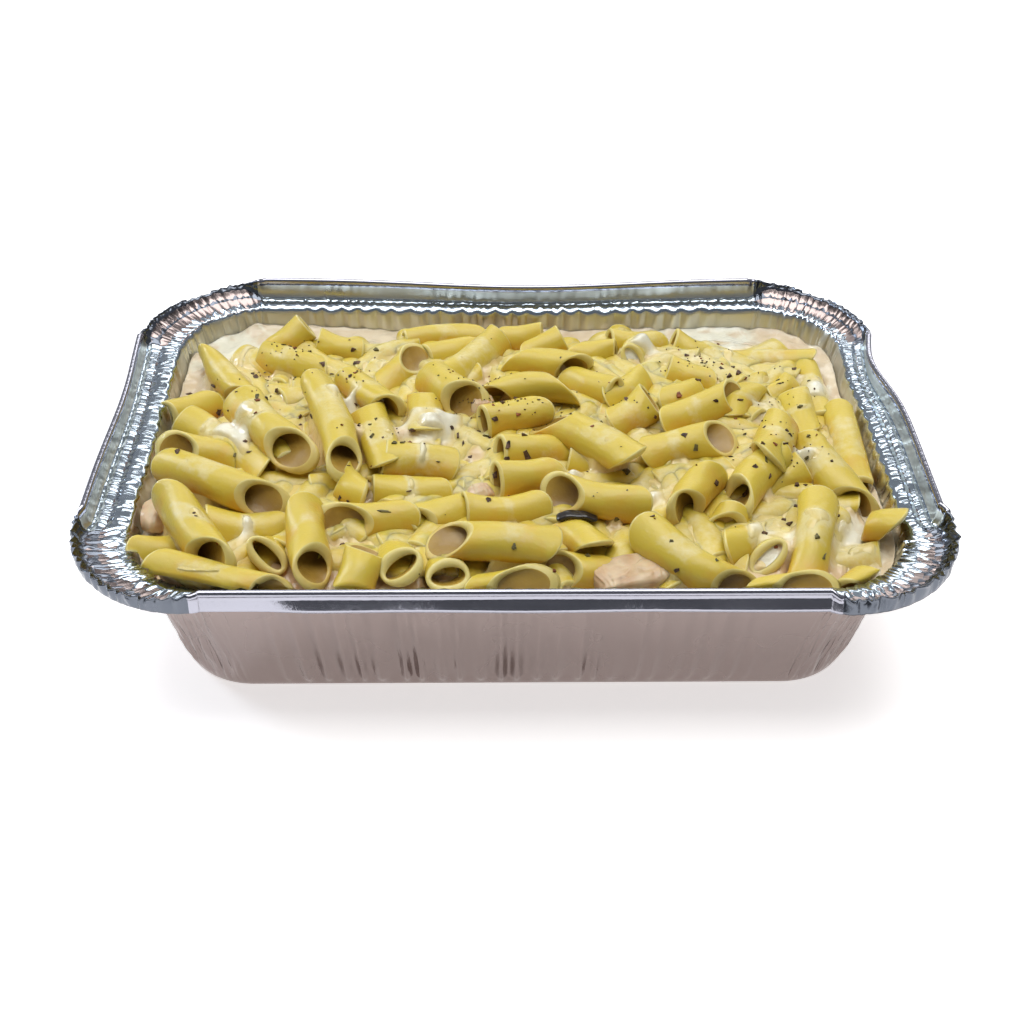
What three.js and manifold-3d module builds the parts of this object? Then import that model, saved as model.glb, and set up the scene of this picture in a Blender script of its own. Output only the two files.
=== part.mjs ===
// A takeaway tray of pressed aluminium foil, heaped with penne in cream sauce,
// with bits of chicken and a slice of olive. Millimetres, +Z up, the long sides
// along X. Places are given from a point near the middle of the base, and the
// finished meal is moved so that the origin is under the middle of its outline.
import * as THREE from "three";
import { mergeVertices } from "three/addons/utils/BufferGeometryUtils.js";
import Module from "manifold-3d";

const wasm = await Module();
wasm.setup();

// ---- Driving dimensions -----------------------------------------------------

const FOIL = 0.4; // thickness of the foil as a solid
const GAP = 0.3; // clear space between neighbouring solids
const BASE_HEEL = { inset: 1.2, height: 1.6 }; // rounded edge round the base
const FLANGE_HEIGHT = 41;
const RIM_HEIGHT = 47;
const RIM_LEAN = 1.2; // how far the upright rim stands inside its bead
const RIM_SKIRT = 0.6; // how far the rim's folded foot stands out past its plan
const BEAD_RADIUS = 0.9; // rolled edge of the rim

// The tray in plan at three heights, each a rectangle with round corners.
const BASE_PLAN = { x: 2, y: -1, halfLength: 89, halfWidth: 58.8, corner: 20 };
const WALL_PLAN = { x: 2, y: -1.2, halfLength: 99.5, halfWidth: 68.3, corner: 25 };
const RIM_PLAN = { x: 0.7, y: -0.9, halfLength: 109.4, halfWidth: 76.4, corner: 34 };

const FLUTES_LONG = 20; // pressed flutes along a long side
const FLUTES_SHORT = 12;
const CORNER_PLEATS = 5;
const FLUTE_DEPTH = 1;
const PLEAT_DEPTH = 1.2;

// The pleated frill of each corner, from the front right anticlockwise: how far
// it stands out past the beaded sides at its top and at its foot, and how much
// lower it is than they are.
const FRILLS = [
  { top: 4.8, foot: 3.2, drop: 1.2 },
  { top: -0.3, foot: 0, drop: 1.3 },
  { top: -0.6, foot: 0, drop: 1.3 },
  { top: 3.2, foot: 2.2, drop: 1.2 },
];
const FRILL_SWELL = 0.6; // how soon past its start a frill is at its full size

// Places where the sides are pushed in: middle, depth, and reach along X and Y.
const DENTS = [
  { x: 7, y: 75, depth: 5, reachX: 45, reachY: 22 },
  { x: 110, y: 27, depth: 4.2, reachX: 15, reachY: 17 },
  { x: -108, y: 10, depth: 1.5, reachX: 8, reachY: 26 },
];

const SAUCE_LEVEL = 34.4;
const SAUCE_WAVE = { height: 0.5, alongX: 15, alongY: 13 };
const SAUCE_BAND = 2.6; // sauce between the heap and the wall where none shows
const BAND_LIMIT = 17; // and at its widest: less than the corners' radius

// Pools of sauce that show beside the heap: middle, width and reach.
const POOLS = [
  { x: -96, y: 56, width: 20, reach: 26 },
  { x: -40, y: 68, width: 7, reach: 34 },
  { x: 35, y: 68, width: 6, reach: 30 },
  { x: 97, y: 56, width: 16, reach: 24 },
  { x: 101, y: 28, width: 9, reach: 20 },
  { x: 101, y: -22, width: 5, reach: 14 },
  { x: 99, y: -58, width: 8, reach: 14 },
];

const CORE_OVERLAP = 1; // how far the noodles' cut by the sauce runs into the core
const CORE_EDGE = 35.3; // height of the heap's core beside the sauce
const CORE_MIDDLE = 39.6; // and in its middle
const CORE_STEPS = [0.4, 0.8]; // where the core's top has rings, as shares of its reach
const CORE_SHOULDER = 2.5; // the higher, the flatter the core's middle
const HEAP_HEADROOM = 12; // how far the heap may rise over the rim

const NOODLE_WALL = 1.8;
const NOODLE_SIDES = { hollow: 8, plugged: 6 }; // the flat faces round a noodle
const MOUTH_DEPTH = 6; // how deep a noodle is hollowed at an open end
const MOUTH_FACING = 0.5; // a mouth that faces less upward than this stays solid
const FLAKES = { count: 12, length: [1, 1.7], width: [0.7, 1.1], thickness: 0.7, spread: 0.22, seed: 7 };

// ---- Where the noodles that show lie ------------------------------------------
// Each is [x, y, z, heading, tilt, roll, length, width, cut, cut, plugged]: its
// middle and sizes in mm, its headings in degrees, how slanted its two ends are
// cut, and which end, A at the tail or B at the head, is full of sauce.

const LEFT_NOODLES = [
  [-82, 30, 39, -60, 0, -80, 35, 9, 45, 45],
  [-65, -8, 46, 125, 0, -35, 38, 11, 50, 30],
  [-64, -9, 40, 125, 0, -35, 36, 10, 45, 45],
  [-48, -5, 46, 105, 0, 30, 46, 10, 45, 30],
  [-77, -7, 40, -45, 0, 40, 38, 9.5, 10, 30],
  [-90, 14, 38, 45, -10, 60, 18, 9, 10, 40],
  [-85, -12, 41, 0, -15, 55, 23, 10, 50, 40],
  [-76, -30, 44, 150, 0, -45, 41, 10, 50, 45],
  [-36, -7, 43, 105, 0, 165, 34, 9.5, 45, 30],
];

const BACK_NOODLES = [
  [-63, 36, 39, -35, 5, 55, 29, 10, 10, 45],
  [-50, 47, 38, -20, -5, 55, 17, 9, 10, 30],
  [-66, 50, 39, -145, -25, -50, 17, 9, 10, 45],
  [-39, 14, 43, -55, 5, -80, 27, 9.5, 20, 35],
  [-18, 54, 37, 5, 0, 60, 28, 9, 10, 45],
  [4, 54, 37, -170, 0, -60, 17, 9, 10, 45],
  [-10, 36, 41, -120, 5, -45, 39, 9.5, 20, 45],
  [-30, 33, 40, -125, -10, -40, 27, 9.5, 60, 45],
  [-16, 46, 37, 25, -5, 60, 20, 9, 10, 45],
  [12, 32, 42, 165, -5, -110, 27, 10, 45, 45],
  [25, 43, 38, -175, -5, -90, 18, 9.5, 10, 45],
  [11, 46, 39, -155, -15, -50, 16, 8.5, 10, 45],
  [41, 47, 38, 65, -15, 45, 23, 8.5, 20, 45, "A"],
  [40, 50, 38, 5, -5, 60, 19, 8.5, 10, 45],
  [56, 48, 36.5, -15, -15, 60, 14, 9, 10, 45],
  [54, 28, 39.5, -25, -5, 55, 17, 9.5, 10, 45],
];

const MIDDLE_NOODLES = [
  [-24, -19, 43, -5, -5, 25, 22, 10, 10, 30],
  [-26, -28, 39, -5, 0, 55, 23, 9.5, 10, 40],
  [-42, -26, 40, 125, 0, 115, 19, 9.5, 40, 45],
  [6, 15, 44, 180, -5, 55, 29, 10, 45, 45],
  [24, 21, 41, 140, -10, -60, 20, 9.5, 10, 45],
  [21, -11, 45, -45, 5, 0, 40, 11.5, 50, 40],
  [2, 3, 43, 20, 0, 55, 21, 9.5, 10, 45],
  [6, -13, 42, 15, -10, 55, 20, 9.5, 10, 45],
  [5, -25, 42, 15, -5, 55, 20, 10, 10, 45],
  [22, -16, 39.5, -15, -5, 55, 15, 9.5, 10, 45],
  [35, 5, 42.5, -145, -15, -45, 18, 10.5, 20, 30],
  [-16, 14, 44, 125, -5, -45, 25, 11.5, 40, 30],
  [-23, 7, 42, 90, 0, -180, 28, 10, 45, 45, "A"],
  [34, 20, 40, -135, 5, -50, 22, 9.5, 10, 45],
  [-1, -37, 40, 5, 0, 55, 24, 9.5, 10, 45],
];

const FRONT_NOODLES = [
  [-80, -50, 44, 120, 5, -65, 36, 11, 45, 45],
  [-62, -47, 34, 95, -35, 50, 27, 10.5, 10, 30],
  [-51, -52, 42, 100, 5, 40, 31, 10.5, 45, 45],
  [-72, -66, 40, -15, -5, -135, 39, 10, 45, 45],
  [-87, -50, 37, 25, -10, -125, 24, 10, 45, 45],
  [-68, -42, 38, 0, -5, 50, 24, 10, 10, 45],
  [-37, -41, 40, 10, -5, 55, 27, 10, 55, 45],
  [-20, -39, 39, 25, 0, 50, 26, 10, 50, 45],
  [-5, -54, 43, -5, 0, 10, 36, 11, 50, 40],
  [-30, -50, 35, 105, -25, -30, 30, 11, 25, 30],
  [-17, -53, 34, 95, -30, -5, 28, 10, 20, 30],
  [0, -66, 38, -180, -15, -50, 24, 10, 60, 45],
  [17, -47, 39, 120, -15, -165, 24, 9.5, 40, 40],
  [22, -37, 44, -10, -5, 55, 30, 10, 50, 45],
  [-38, -61, 39, 75, 15, -160, 20, 10, 45, 30],
  [17, -59, 37, 0, -10, 50, 21, 10, 45, 45],
];

const RIGHT_NOODLES = [
  [45, -59, 40, 145, 15, -45, 37, 10.5, 45, 45],
  [69, -67, 37, -175, -10, -45, 26, 10, 60, 45],
  [48, -34, 43, 60, 0, 75, 23, 10.5, 40, 30],
  [56, -41, 38, 55, 15, 55, 13, 9.5, 45, 20],
  [65, -26, 42, 55, 5, -50, 28, 11, 40, 20],
  [77, -49, 39.5, -105, -15, -180, 35, 9.5, 45, 20],
  [87, -20, 38, -65, -10, -110, 33, 11.5, 30, 40],
  [97, -43, 39.5, -30, 25, 0, 14, 9, 20, 50],
  [88, -62, 36, 25, 0, 125, 14, 9, 30, 30],
  [66, -45, 32, 85, -35, -45, 26, 10.5, 10, 30, "A"],
  [62, -47, 37, 30, -10, -135, 23, 9.5, 40, 45, "B"],
  [74, -22, 39.5, -150, -10, -40, 15, 9, 10, 45],
  [75, 44, 35.5, 180, 0, -170, 37, 8.5, 45, 45],
  [55, 8, 42, -150, -5, -50, 32, 10, 45, 45],
  [49, -10, 42, -165, -5, -30, 30, 10.5, 45, 45],
  [72, -12, 44, -110, 5, -45, 28, 11, 20, 45],
  [95, -3, 36, -90, -5, -160, 39, 9, 45, 20],
  [81, 26, 36.5, -135, -5, -35, 13, 7.5, 10, 45],
  [84, 12, 37, -85, -5, 25, 23, 8.5, 10, 45],
  [90, 26, 35, -90, 0, -155, 33, 8, 45, 20],
  [49, 16, 40.5, -145, 5, -50, 18, 9, 10, 45],
  [66, 15, 39, -120, 0, 20, 22, 9, 10, 45],
];

// ---- Bits of chicken: middle, size, heading and how square they are -----------

const CHICKEN_BITS = [
  { name: "chicken_chunk_front", at: [30, -60.5, 38], size: [19, 12, 9], heading: 18, square: 0.5 },
  { name: "chicken_bit_middle", at: [-8, -31.5, 40.5], size: [7, 6, 7], heading: 20, square: 0.6 },
  { name: "chicken_bit_centre", at: [-7, 9, 41.5], size: [7, 8, 8], heading: 0, square: 0.7 },
  { name: "chicken_shred_left", at: [-92, -35, 38], size: [9, 14, 6], heading: -20, square: 0.8 },
  { name: "chicken_bit_corner", at: [-85, -64, 38], size: [8, 6, 6], heading: 30, square: 0.6 },
];

const BUMP = 0.06; // how uneven the chicken is, as a share of its size
const LARGE_BIT = 10; // a bit of chicken longer than this has more faces

// The slice stands on edge, its ring pressed flat and cut open below.
const OLIVE = { at: [16.8, -42.6, 41.5], radius: 5.2, wall: 2.6, thickness: 3,
  flattened: 0.45, from: 10, to: 170, steps: 8 };

// ---- Closed meshes and booleans ------------------------------------------------

const WELD = 1e-4; // corners nearer than this are one

// A seeded draw from 0 to 1, the same each time.
function makeDraw(seed) {
  let state = seed;
  return () => {
    state = (state * 1664525 + 1013904223) % 4294967296;
    return state / 4294967296;
  };
}

// Joins rings of equal length into one closed skin. The rings run from one end
// cap to the other or, where closed is true, back round to the first.
function loft(rings, closed = false) {
  const around = rings[0].length;
  const positions = rings.flat().flatMap((p) => [p.x, p.y, p.z]);
  const faces = [];
  const bands = closed ? rings.length : rings.length - 1;
  for (let band = 0; band < bands; band += 1) {
    const here = band * around;
    const next = ((band + 1) % rings.length) * around;
    for (let step = 0; step < around; step += 1) {
      const after = (step + 1) % around;
      faces.push(here + step, here + after, next + after);
      faces.push(here + step, next + after, next + step);
    }
  }
  if (!closed) {
    capRing(positions, faces, rings[0], 0, true);
    capRing(positions, faces, rings.at(-1), (rings.length - 1) * around, false);
  }
  return outward(positions, faces);
}

// Closes a ring with a fan of triangles round its middle.
function capRing(positions, faces, ring, first, reversed) {
  const middle = ring.reduce((sum, p) => sum.add(p), new THREE.Vector3()).divideScalar(ring.length);
  const centre = positions.length / 3;
  positions.push(middle.x, middle.y, middle.z);
  for (let step = 0; step < ring.length; step += 1) {
    const after = (step + 1) % ring.length;
    const pair = reversed ? [after, step] : [step, after];
    faces.push(centre, first + pair[0], first + pair[1]);
  }
}

// Builds the geometry with its faces pointing out.
function outward(positions, faces) {
  const corner = (index) => new THREE.Vector3().fromArray(positions, index * 3);
  let volume = 0;
  for (let i = 0; i < faces.length; i += 3) {
    const [a, b, c] = [corner(faces[i]), corner(faces[i + 1]), corner(faces[i + 2])];
    volume += a.dot(b.cross(c));
  }
  const turned = volume < 0 ? faces.toReversed() : faces;
  const geometry = new THREE.BufferGeometry();
  geometry.setAttribute("position", new THREE.Float32BufferAttribute(positions, 3));
  geometry.setIndex(turned);
  return geometry;
}

function toSolid(geometry) {
  const bare = geometry.clone();
  bare.deleteAttribute("normal");
  bare.deleteAttribute("uv");
  const merged = mergeVertices(bare, WELD);
  return new wasm.Manifold(new wasm.Mesh({
    numProp: 3,
    vertProperties: new Float32Array(merged.attributes.position.array),
    triVerts: new Uint32Array(merged.index.array),
  }));
}

function toGeometry(solid) {
  const mesh = solid.getMesh();
  const geometry = new THREE.BufferGeometry();
  geometry.setAttribute("position", new THREE.Float32BufferAttribute(mesh.vertProperties, 3));
  geometry.setIndex(Array.from(mesh.triVerts));
  return geometry;
}

// ---- The tray's outline ---------------------------------------------------------

const mix = (a, b, share) => a + (b - a) * share;

function mixPlans(low, high, share) {
  const plan = {};
  for (const key of Object.keys(low)) {
    plan[key] = mix(low[key], high[key], share);
  }
  return plan;
}

const wallPlanAt = (height) => mixPlans(BASE_PLAN, WALL_PLAN, height / FLANGE_HEIGHT);

// Steps round a plan anticlockwise, from the front left: each straight side,
// then the corner it leads to. A step knows its place, its outward direction,
// and how far along its side or corner it is.
function outline(plan, steps) {
  const straight = [plan.halfLength - plan.corner, plan.halfWidth - plan.corner];
  const path = [];
  for (let side = 0; side < 4; side += 1) {
    const facing = (side - 1) * Math.PI / 2;
    const half = straight[side % 2];
    const reach = straight[(side + 1) % 2] + plan.corner;
    const out = new THREE.Vector2(Math.cos(facing), Math.sin(facing));
    const along = new THREE.Vector2(-out.y, out.x);
    const sideSteps = steps.sides[side % 2];
    for (let step = 0; step < sideSteps; step += 1) {
      const run = mix(-half, half, step / sideSteps);
      path.push({ x: plan.x + out.x * reach + along.x * run, y: plan.y + out.y * reach + along.y * run,
        out, step, corner: null, share: step / sideSteps });
    }
    const middle = new THREE.Vector2(plan.x, plan.y).addScaledVector(out, reach - plan.corner)
      .addScaledVector(along, half);
    for (let step = 0; step < steps.corner; step += 1) {
      const angle = facing + step / steps.corner * Math.PI / 2;
      const away = new THREE.Vector2(Math.cos(angle), Math.sin(angle));
      path.push({ x: middle.x + away.x * plan.corner, y: middle.y + away.y * plan.corner,
        out: away, step, corner: side, share: step / steps.corner });
    }
  }
  return path;
}

const TRAY_STEPS = { sides: [FLUTES_LONG * 2, FLUTES_SHORT * 2], corner: CORNER_PLEATS * 2 };
const FOOD_STEPS = { sides: [14, 8], corner: 5 };

// How far the sides are pushed in at a place in plan.
function dentAt(x, y) {
  let depth = 0;
  for (const dent of DENTS) {
    depth += dent.depth * Math.exp(-(((x - dent.x) / dent.reachX) ** 2) - ((y - dent.y) / dent.reachY) ** 2);
  }
  return depth;
}

// One ring of the tray: its plan moved out by a distance, with its share of
// the flutes, pleats and dents. The height up the rim, from 0 at its foot to 1,
// sets how much of the corner frills the ring has.
function trayRing({ plan, z, out = 0, flute = 0, pleat = 0, upRim = null, dent = 0 }) {
  return outline(plan, TRAY_STEPS).map((point) => {
    const crest = point.step % 2 === 0 ? -0.5 : 0.5;
    let shift = out - dent * dentAt(point.x, point.y);
    let height = z;
    if (point.corner === null) {
      shift += crest * flute * FLUTE_DEPTH;
    } else {
      shift += crest * pleat * PLEAT_DEPTH;
    }
    if (point.corner !== null && upRim !== null) {
      const { top, foot, drop } = FRILLS[point.corner];
      const swell = Math.sin(Math.PI * point.share) ** FRILL_SWELL;
      shift += swell * mix(foot, top, upRim);
      height -= swell * upRim * drop;
    }
    return new THREE.Vector3(point.x + point.out.x * shift, point.y + point.out.y * shift, height);
  });
}

function wallRing(height, out, pressed) {
  return trayRing({ plan: wallPlanAt(height), z: height, out, flute: pressed, pleat: pressed * 0.5,
    dent: 0.5 * height / FLANGE_HEIGHT });
}

function makeTray() {
  const bead = RIM_HEIGHT - BEAD_RADIUS;
  const rim = { plan: RIM_PLAN, dent: 1 };
  const flange = FLANGE_HEIGHT - FOIL;
  return loft([
    wallRing(FOIL, -BASE_HEEL.inset - FOIL, 0),
    wallRing(BASE_HEEL.height, -FOIL, 1),
    wallRing(FLANGE_HEIGHT - 1, -FOIL, 1),
    trayRing({ plan: WALL_PLAN, z: FLANGE_HEIGHT, out: 0.6, dent: 0.5, flute: 0.5, pleat: 0.5 }),
    trayRing({ ...rim, z: FLANGE_HEIGHT, out: -RIM_LEAN, pleat: 0.4, upRim: 0 }),
    trayRing({ ...rim, z: bead, out: -BEAD_RADIUS, pleat: 1, upRim: 1 }),
    trayRing({ ...rim, z: RIM_HEIGHT, pleat: 1, upRim: 1 }),
    trayRing({ ...rim, z: bead, out: BEAD_RADIUS, pleat: 1, upRim: 1 }),
    trayRing({ ...rim, z: flange, out: RIM_SKIRT, pleat: 0.4, upRim: 0 }),
    trayRing({ plan: WALL_PLAN, z: flange, out: 0.4, dent: 0.5, flute: 0.5, pleat: 0.5 }),
    wallRing(BASE_HEEL.height, 0, 1),
    wallRing(0, -BASE_HEEL.inset, 0),
  ]);
}

// ---- The room inside the tray, and the sauce -------------------------------------

// The wall as the food meets it: inside the foil, clear of flutes and dents.
const ROOM = FOIL + GAP + FLUTE_DEPTH / 2;
const FLOOR = FOIL + GAP;

function foodRing(plan, height, inset, dent) {
  return outline(plan, FOOD_STEPS).map(({ x, y, out }) => {
    const shift = inset(x, y) + dent * dentAt(x, y);
    const z = typeof height === "function" ? height(x, y) : height;
    return new THREE.Vector3(x - out.x * shift, y - out.y * shift, z);
  });
}

// All that the food may fill: the tray's inside, and the space over its flange.
function makeRoom() {
  const over = FLANGE_HEIGHT + GAP;
  const rimInset = RIM_LEAN + BEAD_RADIUS + PLEAT_DEPTH + GAP;
  return loft([
    foodRing(BASE_PLAN, FLOOR, () => BASE_HEEL.inset + ROOM, 0),
    foodRing(wallPlanAt(BASE_HEEL.height), BASE_HEEL.height, () => ROOM, 0.1),
    foodRing(WALL_PLAN, over, () => ROOM, 0.6),
    foodRing(RIM_PLAN, over, () => rimInset, 1),
    foodRing(RIM_PLAN, RIM_HEIGHT + HEAP_HEADROOM, () => rimInset, 1),
  ]);
}

function poolAt(x, y) {
  let width = 0;
  for (const pool of POOLS) {
    width += pool.width * Math.exp(-(((x - pool.x) / pool.reach) ** 2) - ((y - pool.y) / pool.reach) ** 2);
  }
  return width;
}

function sauceHeight(x, y) {
  const { height, alongX, alongY } = SAUCE_WAVE;
  return SAUCE_LEVEL + height * Math.sin(x / alongX + 1) * Math.cos(y / alongY);
}

const bandInset = (x, y) => Math.min(ROOM + SAUCE_BAND + poolAt(x, y), BAND_LIMIT);

// The sauce fills the tray to its level, round the heap's core. Grown by a gap,
// and reaching into the core, it is also what the noodles are kept clear of.
function makeSauce(grown = 0) {
  const top = (x, y) => sauceHeight(x, y) + grown;
  const level = wallPlanAt(SAUCE_LEVEL);
  const coreSide = (x, y) => bandInset(x, y) + (grown > 0 ? CORE_OVERLAP : -GAP);
  const middle = (x, y) => mix(ROOM, coreSide(x, y), 0.5);
  const low = FLOOR - grown;
  const heel = wallPlanAt(BASE_HEEL.height);
  return loft([
    foodRing(heel, low, () => BASE_HEEL.inset + ROOM - grown, 0),
    foodRing(heel, BASE_HEEL.height, () => ROOM - grown, 0.1),
    foodRing(level, top, () => ROOM - grown, 0.5),
    foodRing(level, top, middle, 0.5),
    foodRing(level, top, coreSide, 0.5),
    foodRing(heel, low, (x, y) => BASE_HEEL.inset + coreSide(x, y), 0),
  ], true);
}

// ---- The heap of noodles -----------------------------------------------------------

// The core is what the noodles that show are heaped on. Up to the sauce's level
// its side follows the sauce's, a gap away.
function makeCore() {
  const { x: middleX, y: middleY } = WALL_PLAN;
  const level = wallPlanAt(SAUCE_LEVEL);
  const shoulder = foodRing(level, CORE_EDGE, bandInset, 0.5);
  const top = CORE_STEPS.map((share) => {
    const height = mix(CORE_MIDDLE, CORE_EDGE, share ** CORE_SHOULDER);
    return shoulder.map((p) => new THREE.Vector3(
      mix(middleX, p.x, share), mix(middleY, p.y, share), height));
  });
  const waterline = foodRing(level, sauceHeight, bandInset, 0.5);
  const footInset = (x, y) => BASE_HEEL.inset + bandInset(x, y);
  const foot = foodRing(wallPlanAt(BASE_HEEL.height), FLOOR, footInset, 0);
  return loft([...top, shoulder, waterline, foot]);
}

const degrees = THREE.MathUtils.degToRad;

// The three directions of a noodle: along it, towards the side on which its
// tail is cut back, and across both.
function noodleAxes(heading, tilt, roll) {
  const [h, t, r] = [heading, tilt, roll].map(degrees);
  const along = new THREE.Vector3(Math.cos(h) * Math.cos(t), Math.sin(h) * Math.cos(t), Math.sin(t));
  const up = new THREE.Vector3(0, 0, 1).addScaledVector(along, -along.z).normalize();
  const level = new THREE.Vector3().crossVectors(along, up);
  const back = up.multiplyScalar(Math.cos(r)).addScaledVector(level, Math.sin(r));
  return { along, back, across: new THREE.Vector3().crossVectors(along, back) };
}

// A rod with slanted ends, hollowed at each end whose mouth is open and can be
// seen into from above.
function makeNoodle([x, y, z, heading, tilt, roll, length, width, cutA, cutB, plugged = ""]) {
  const { along, back, across } = noodleAxes(heading, tilt, roll);
  const radius = width / 2;
  const [slopeA, slopeB] = [cutA, cutB].map((cut) => Math.tan(degrees(cut)));
  const facing = { A: slopeA * back.z - along.z, B: along.z - slopeB * back.z };
  const open = (end) => !plugged.includes(end) && facing[end] > MOUTH_FACING;
  const sides = open("A") || open("B") ? NOODLE_SIDES.hollow : NOODLE_SIDES.plugged;
  const ring = (end, size, depth) => {
    const points = [];
    for (let side = 0; side < sides; side += 1) {
      const angle = (side + 0.5) / sides * Math.PI * 2;
      const lift = size * Math.cos(angle);
      const tail = -length / 2 + slopeA * (radius + lift) + depth;
      const head = length / 2 - slopeB * (radius - lift) - depth;
      points.push(new THREE.Vector3(x, y, z).addScaledVector(along, end === "A" ? tail : head)
        .addScaledVector(back, lift).addScaledVector(across, size * Math.sin(angle)));
    }
    return points;
  };
  const bore = radius - NOODLE_WALL;
  const hollow = (end) => (open(end) ? [ring(end, bore, MOUTH_DEPTH), ring(end, bore, 0)] : []);
  return loft([...hollow("A"), ring("A", radius, 0), ring("B", radius, 0), ...hollow("B").toReversed()]);
}

// Flakes of dried herb lie on top of noodles picked by draw.
function makeFlakes(noodles) {
  const draw = makeDraw(FLAKES.seed);
  const flakes = [];
  for (let flake = 0; flake < FLAKES.count; flake += 1) {
    const [x, y, z, heading, tilt, , length, width] = noodles[Math.floor(draw() * noodles.length)];
    const { along, back } = noodleAxes(heading, tilt, 0);
    const place = new THREE.Vector3(x, y, z)
      .addScaledVector(along, length * mix(-FLAKES.spread, FLAKES.spread, draw()))
      .addScaledVector(back, width / 2);
    const geometry = new THREE.OctahedronGeometry(1);
    geometry.scale(mix(...FLAKES.length, draw()), mix(...FLAKES.width, draw()), FLAKES.thickness);
    geometry.rotateZ(draw() * Math.PI);
    geometry.translate(...place);
    flakes.push(geometry);
  }
  return flakes;
}

// Fusing can seal a hollow or leave a scrap: only the largest skin is kept.
function largestBody(solid) {
  return solid.decompose().reduce((best, body) => (body.volume() > best.volume() ? body : best));
}

function makeHeap(toppings) {
  const noodles = [...LEFT_NOODLES, ...BACK_NOODLES, ...MIDDLE_NOODLES, ...FRONT_NOODLES, ...RIGHT_NOODLES];
  const pieces = [...noodles.map(makeNoodle), ...makeFlakes(noodles)];
  let heap = pieces.map(toSolid).reduce((sum, piece) => sum.add(piece));
  heap = heap.intersect(toSolid(makeRoom())).subtract(toSolid(makeSauce(GAP))).add(toSolid(makeCore()));
  for (const topping of toppings) {
    heap = heap.subtract(toSolid(topping));
  }
  return toGeometry(largestBody(heap));
}

// ---- Chicken and olive ---------------------------------------------------------------

// A torn lump: a ball squared up by a power, with a few broad bumps.
function makeChickenBit({ at, size, heading, square }, grown = 0) {
  const geometry = new THREE.IcosahedronGeometry(1, size[0] > LARGE_BIT ? 2 : 1);
  const merged = mergeVertices(new THREE.BufferGeometry()
    .setAttribute("position", geometry.attributes.position), WELD);
  const position = merged.attributes.position;
  for (let i = 0; i < position.count; i += 1) {
    const unit = [position.getX(i), position.getY(i), position.getZ(i)];
    const [u, v, w] = unit;
    const bump = 1 + BUMP * Math.sin(5 * u + 3 * v) * Math.cos(4 * w - 2 * u);
    const spot = unit.map((value, axis) => (
      Math.sign(value) * Math.abs(value) ** square * (size[axis] / 2 * bump + grown)));
    position.setXYZ(i, ...spot);
  }
  merged.rotateZ(degrees(heading));
  merged.translate(...at);
  return merged;
}

// Part of a ring with square edges, standing up out of the sauce.
function makeOlive(grown = 0) {
  const { at, radius, wall, thickness, flattened, from, to, steps } = OLIVE;
  const section = [[-1, -1], [1, -1], [1, 1], [-1, 1]];
  const rings = [];
  const spare = grown / radius;
  for (let step = 0; step <= steps; step += 1) {
    const angle = mix(degrees(from) - spare, degrees(to) + spare, step / steps);
    rings.push(section.map(([side, face]) => {
      const reach = radius - wall / 2 + side * (wall / 2 + grown);
      return new THREE.Vector3(
        at[0] + reach * Math.cos(angle),
        at[1] + face * (thickness / 2 + grown),
        at[2] + reach * Math.sin(angle) * flattened,
      );
    }));
  }
  return loft(rings);
}

// A topping is kept inside the tray and clear of the sauce.
function fitted(geometry) {
  return toGeometry(toSolid(geometry).intersect(toSolid(makeRoom())).subtract(toSolid(makeSauce(GAP))));
}

// ---- Materials and the finished group ---------------------------------------------------

const FOIL_FINISH = { color: 0xb9bcc0, roughness: 0.3, metalness: 1 };
const PENNE_FINISH = { color: 0xe2cf74, roughness: 0.4, metalness: 0 };
const SAUCE_FINISH = { color: 0xe6d9be, roughness: 0.3, metalness: 0 };
const CHICKEN_FINISH = { color: 0xd2b79b, roughness: 0.5, metalness: 0 };
const OLIVE_FINISH = { color: 0x2b2622, roughness: 0.35, metalness: 0 };

function addPiece(group, name, geometry, finish) {
  const mesh = new THREE.Mesh(geometry, new THREE.MeshStandardMaterial(finish));
  mesh.name = name;
  group.add(mesh);
}

function makeMeal() {
  const meal = new THREE.Group();
  const toppings = [...CHICKEN_BITS.map((bit) => makeChickenBit(bit, GAP)), makeOlive(GAP)];
  addPiece(meal, "foil_tray", makeTray(), FOIL_FINISH);
  addPiece(meal, "cream_sauce", makeSauce(), SAUCE_FINISH);
  addPiece(meal, "penne_heap", makeHeap(toppings), PENNE_FINISH);
  for (const bit of CHICKEN_BITS) {
    addPiece(meal, bit.name, fitted(makeChickenBit(bit)), CHICKEN_FINISH);
  }
  addPiece(meal, "olive_slice", fitted(makeOlive()), OLIVE_FINISH);
  const middle = new THREE.Box3().setFromObject(meal).getCenter(new THREE.Vector3());
  for (const piece of meal.children) {
    piece.geometry.translate(-middle.x, -middle.y, 0);
  }
  return meal;
}

export default makeMeal();
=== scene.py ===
import itertools
import math

import bpy
import numpy as np
from mathutils import Matrix, Vector
from mathutils.bvhtree import BVHTree


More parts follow.
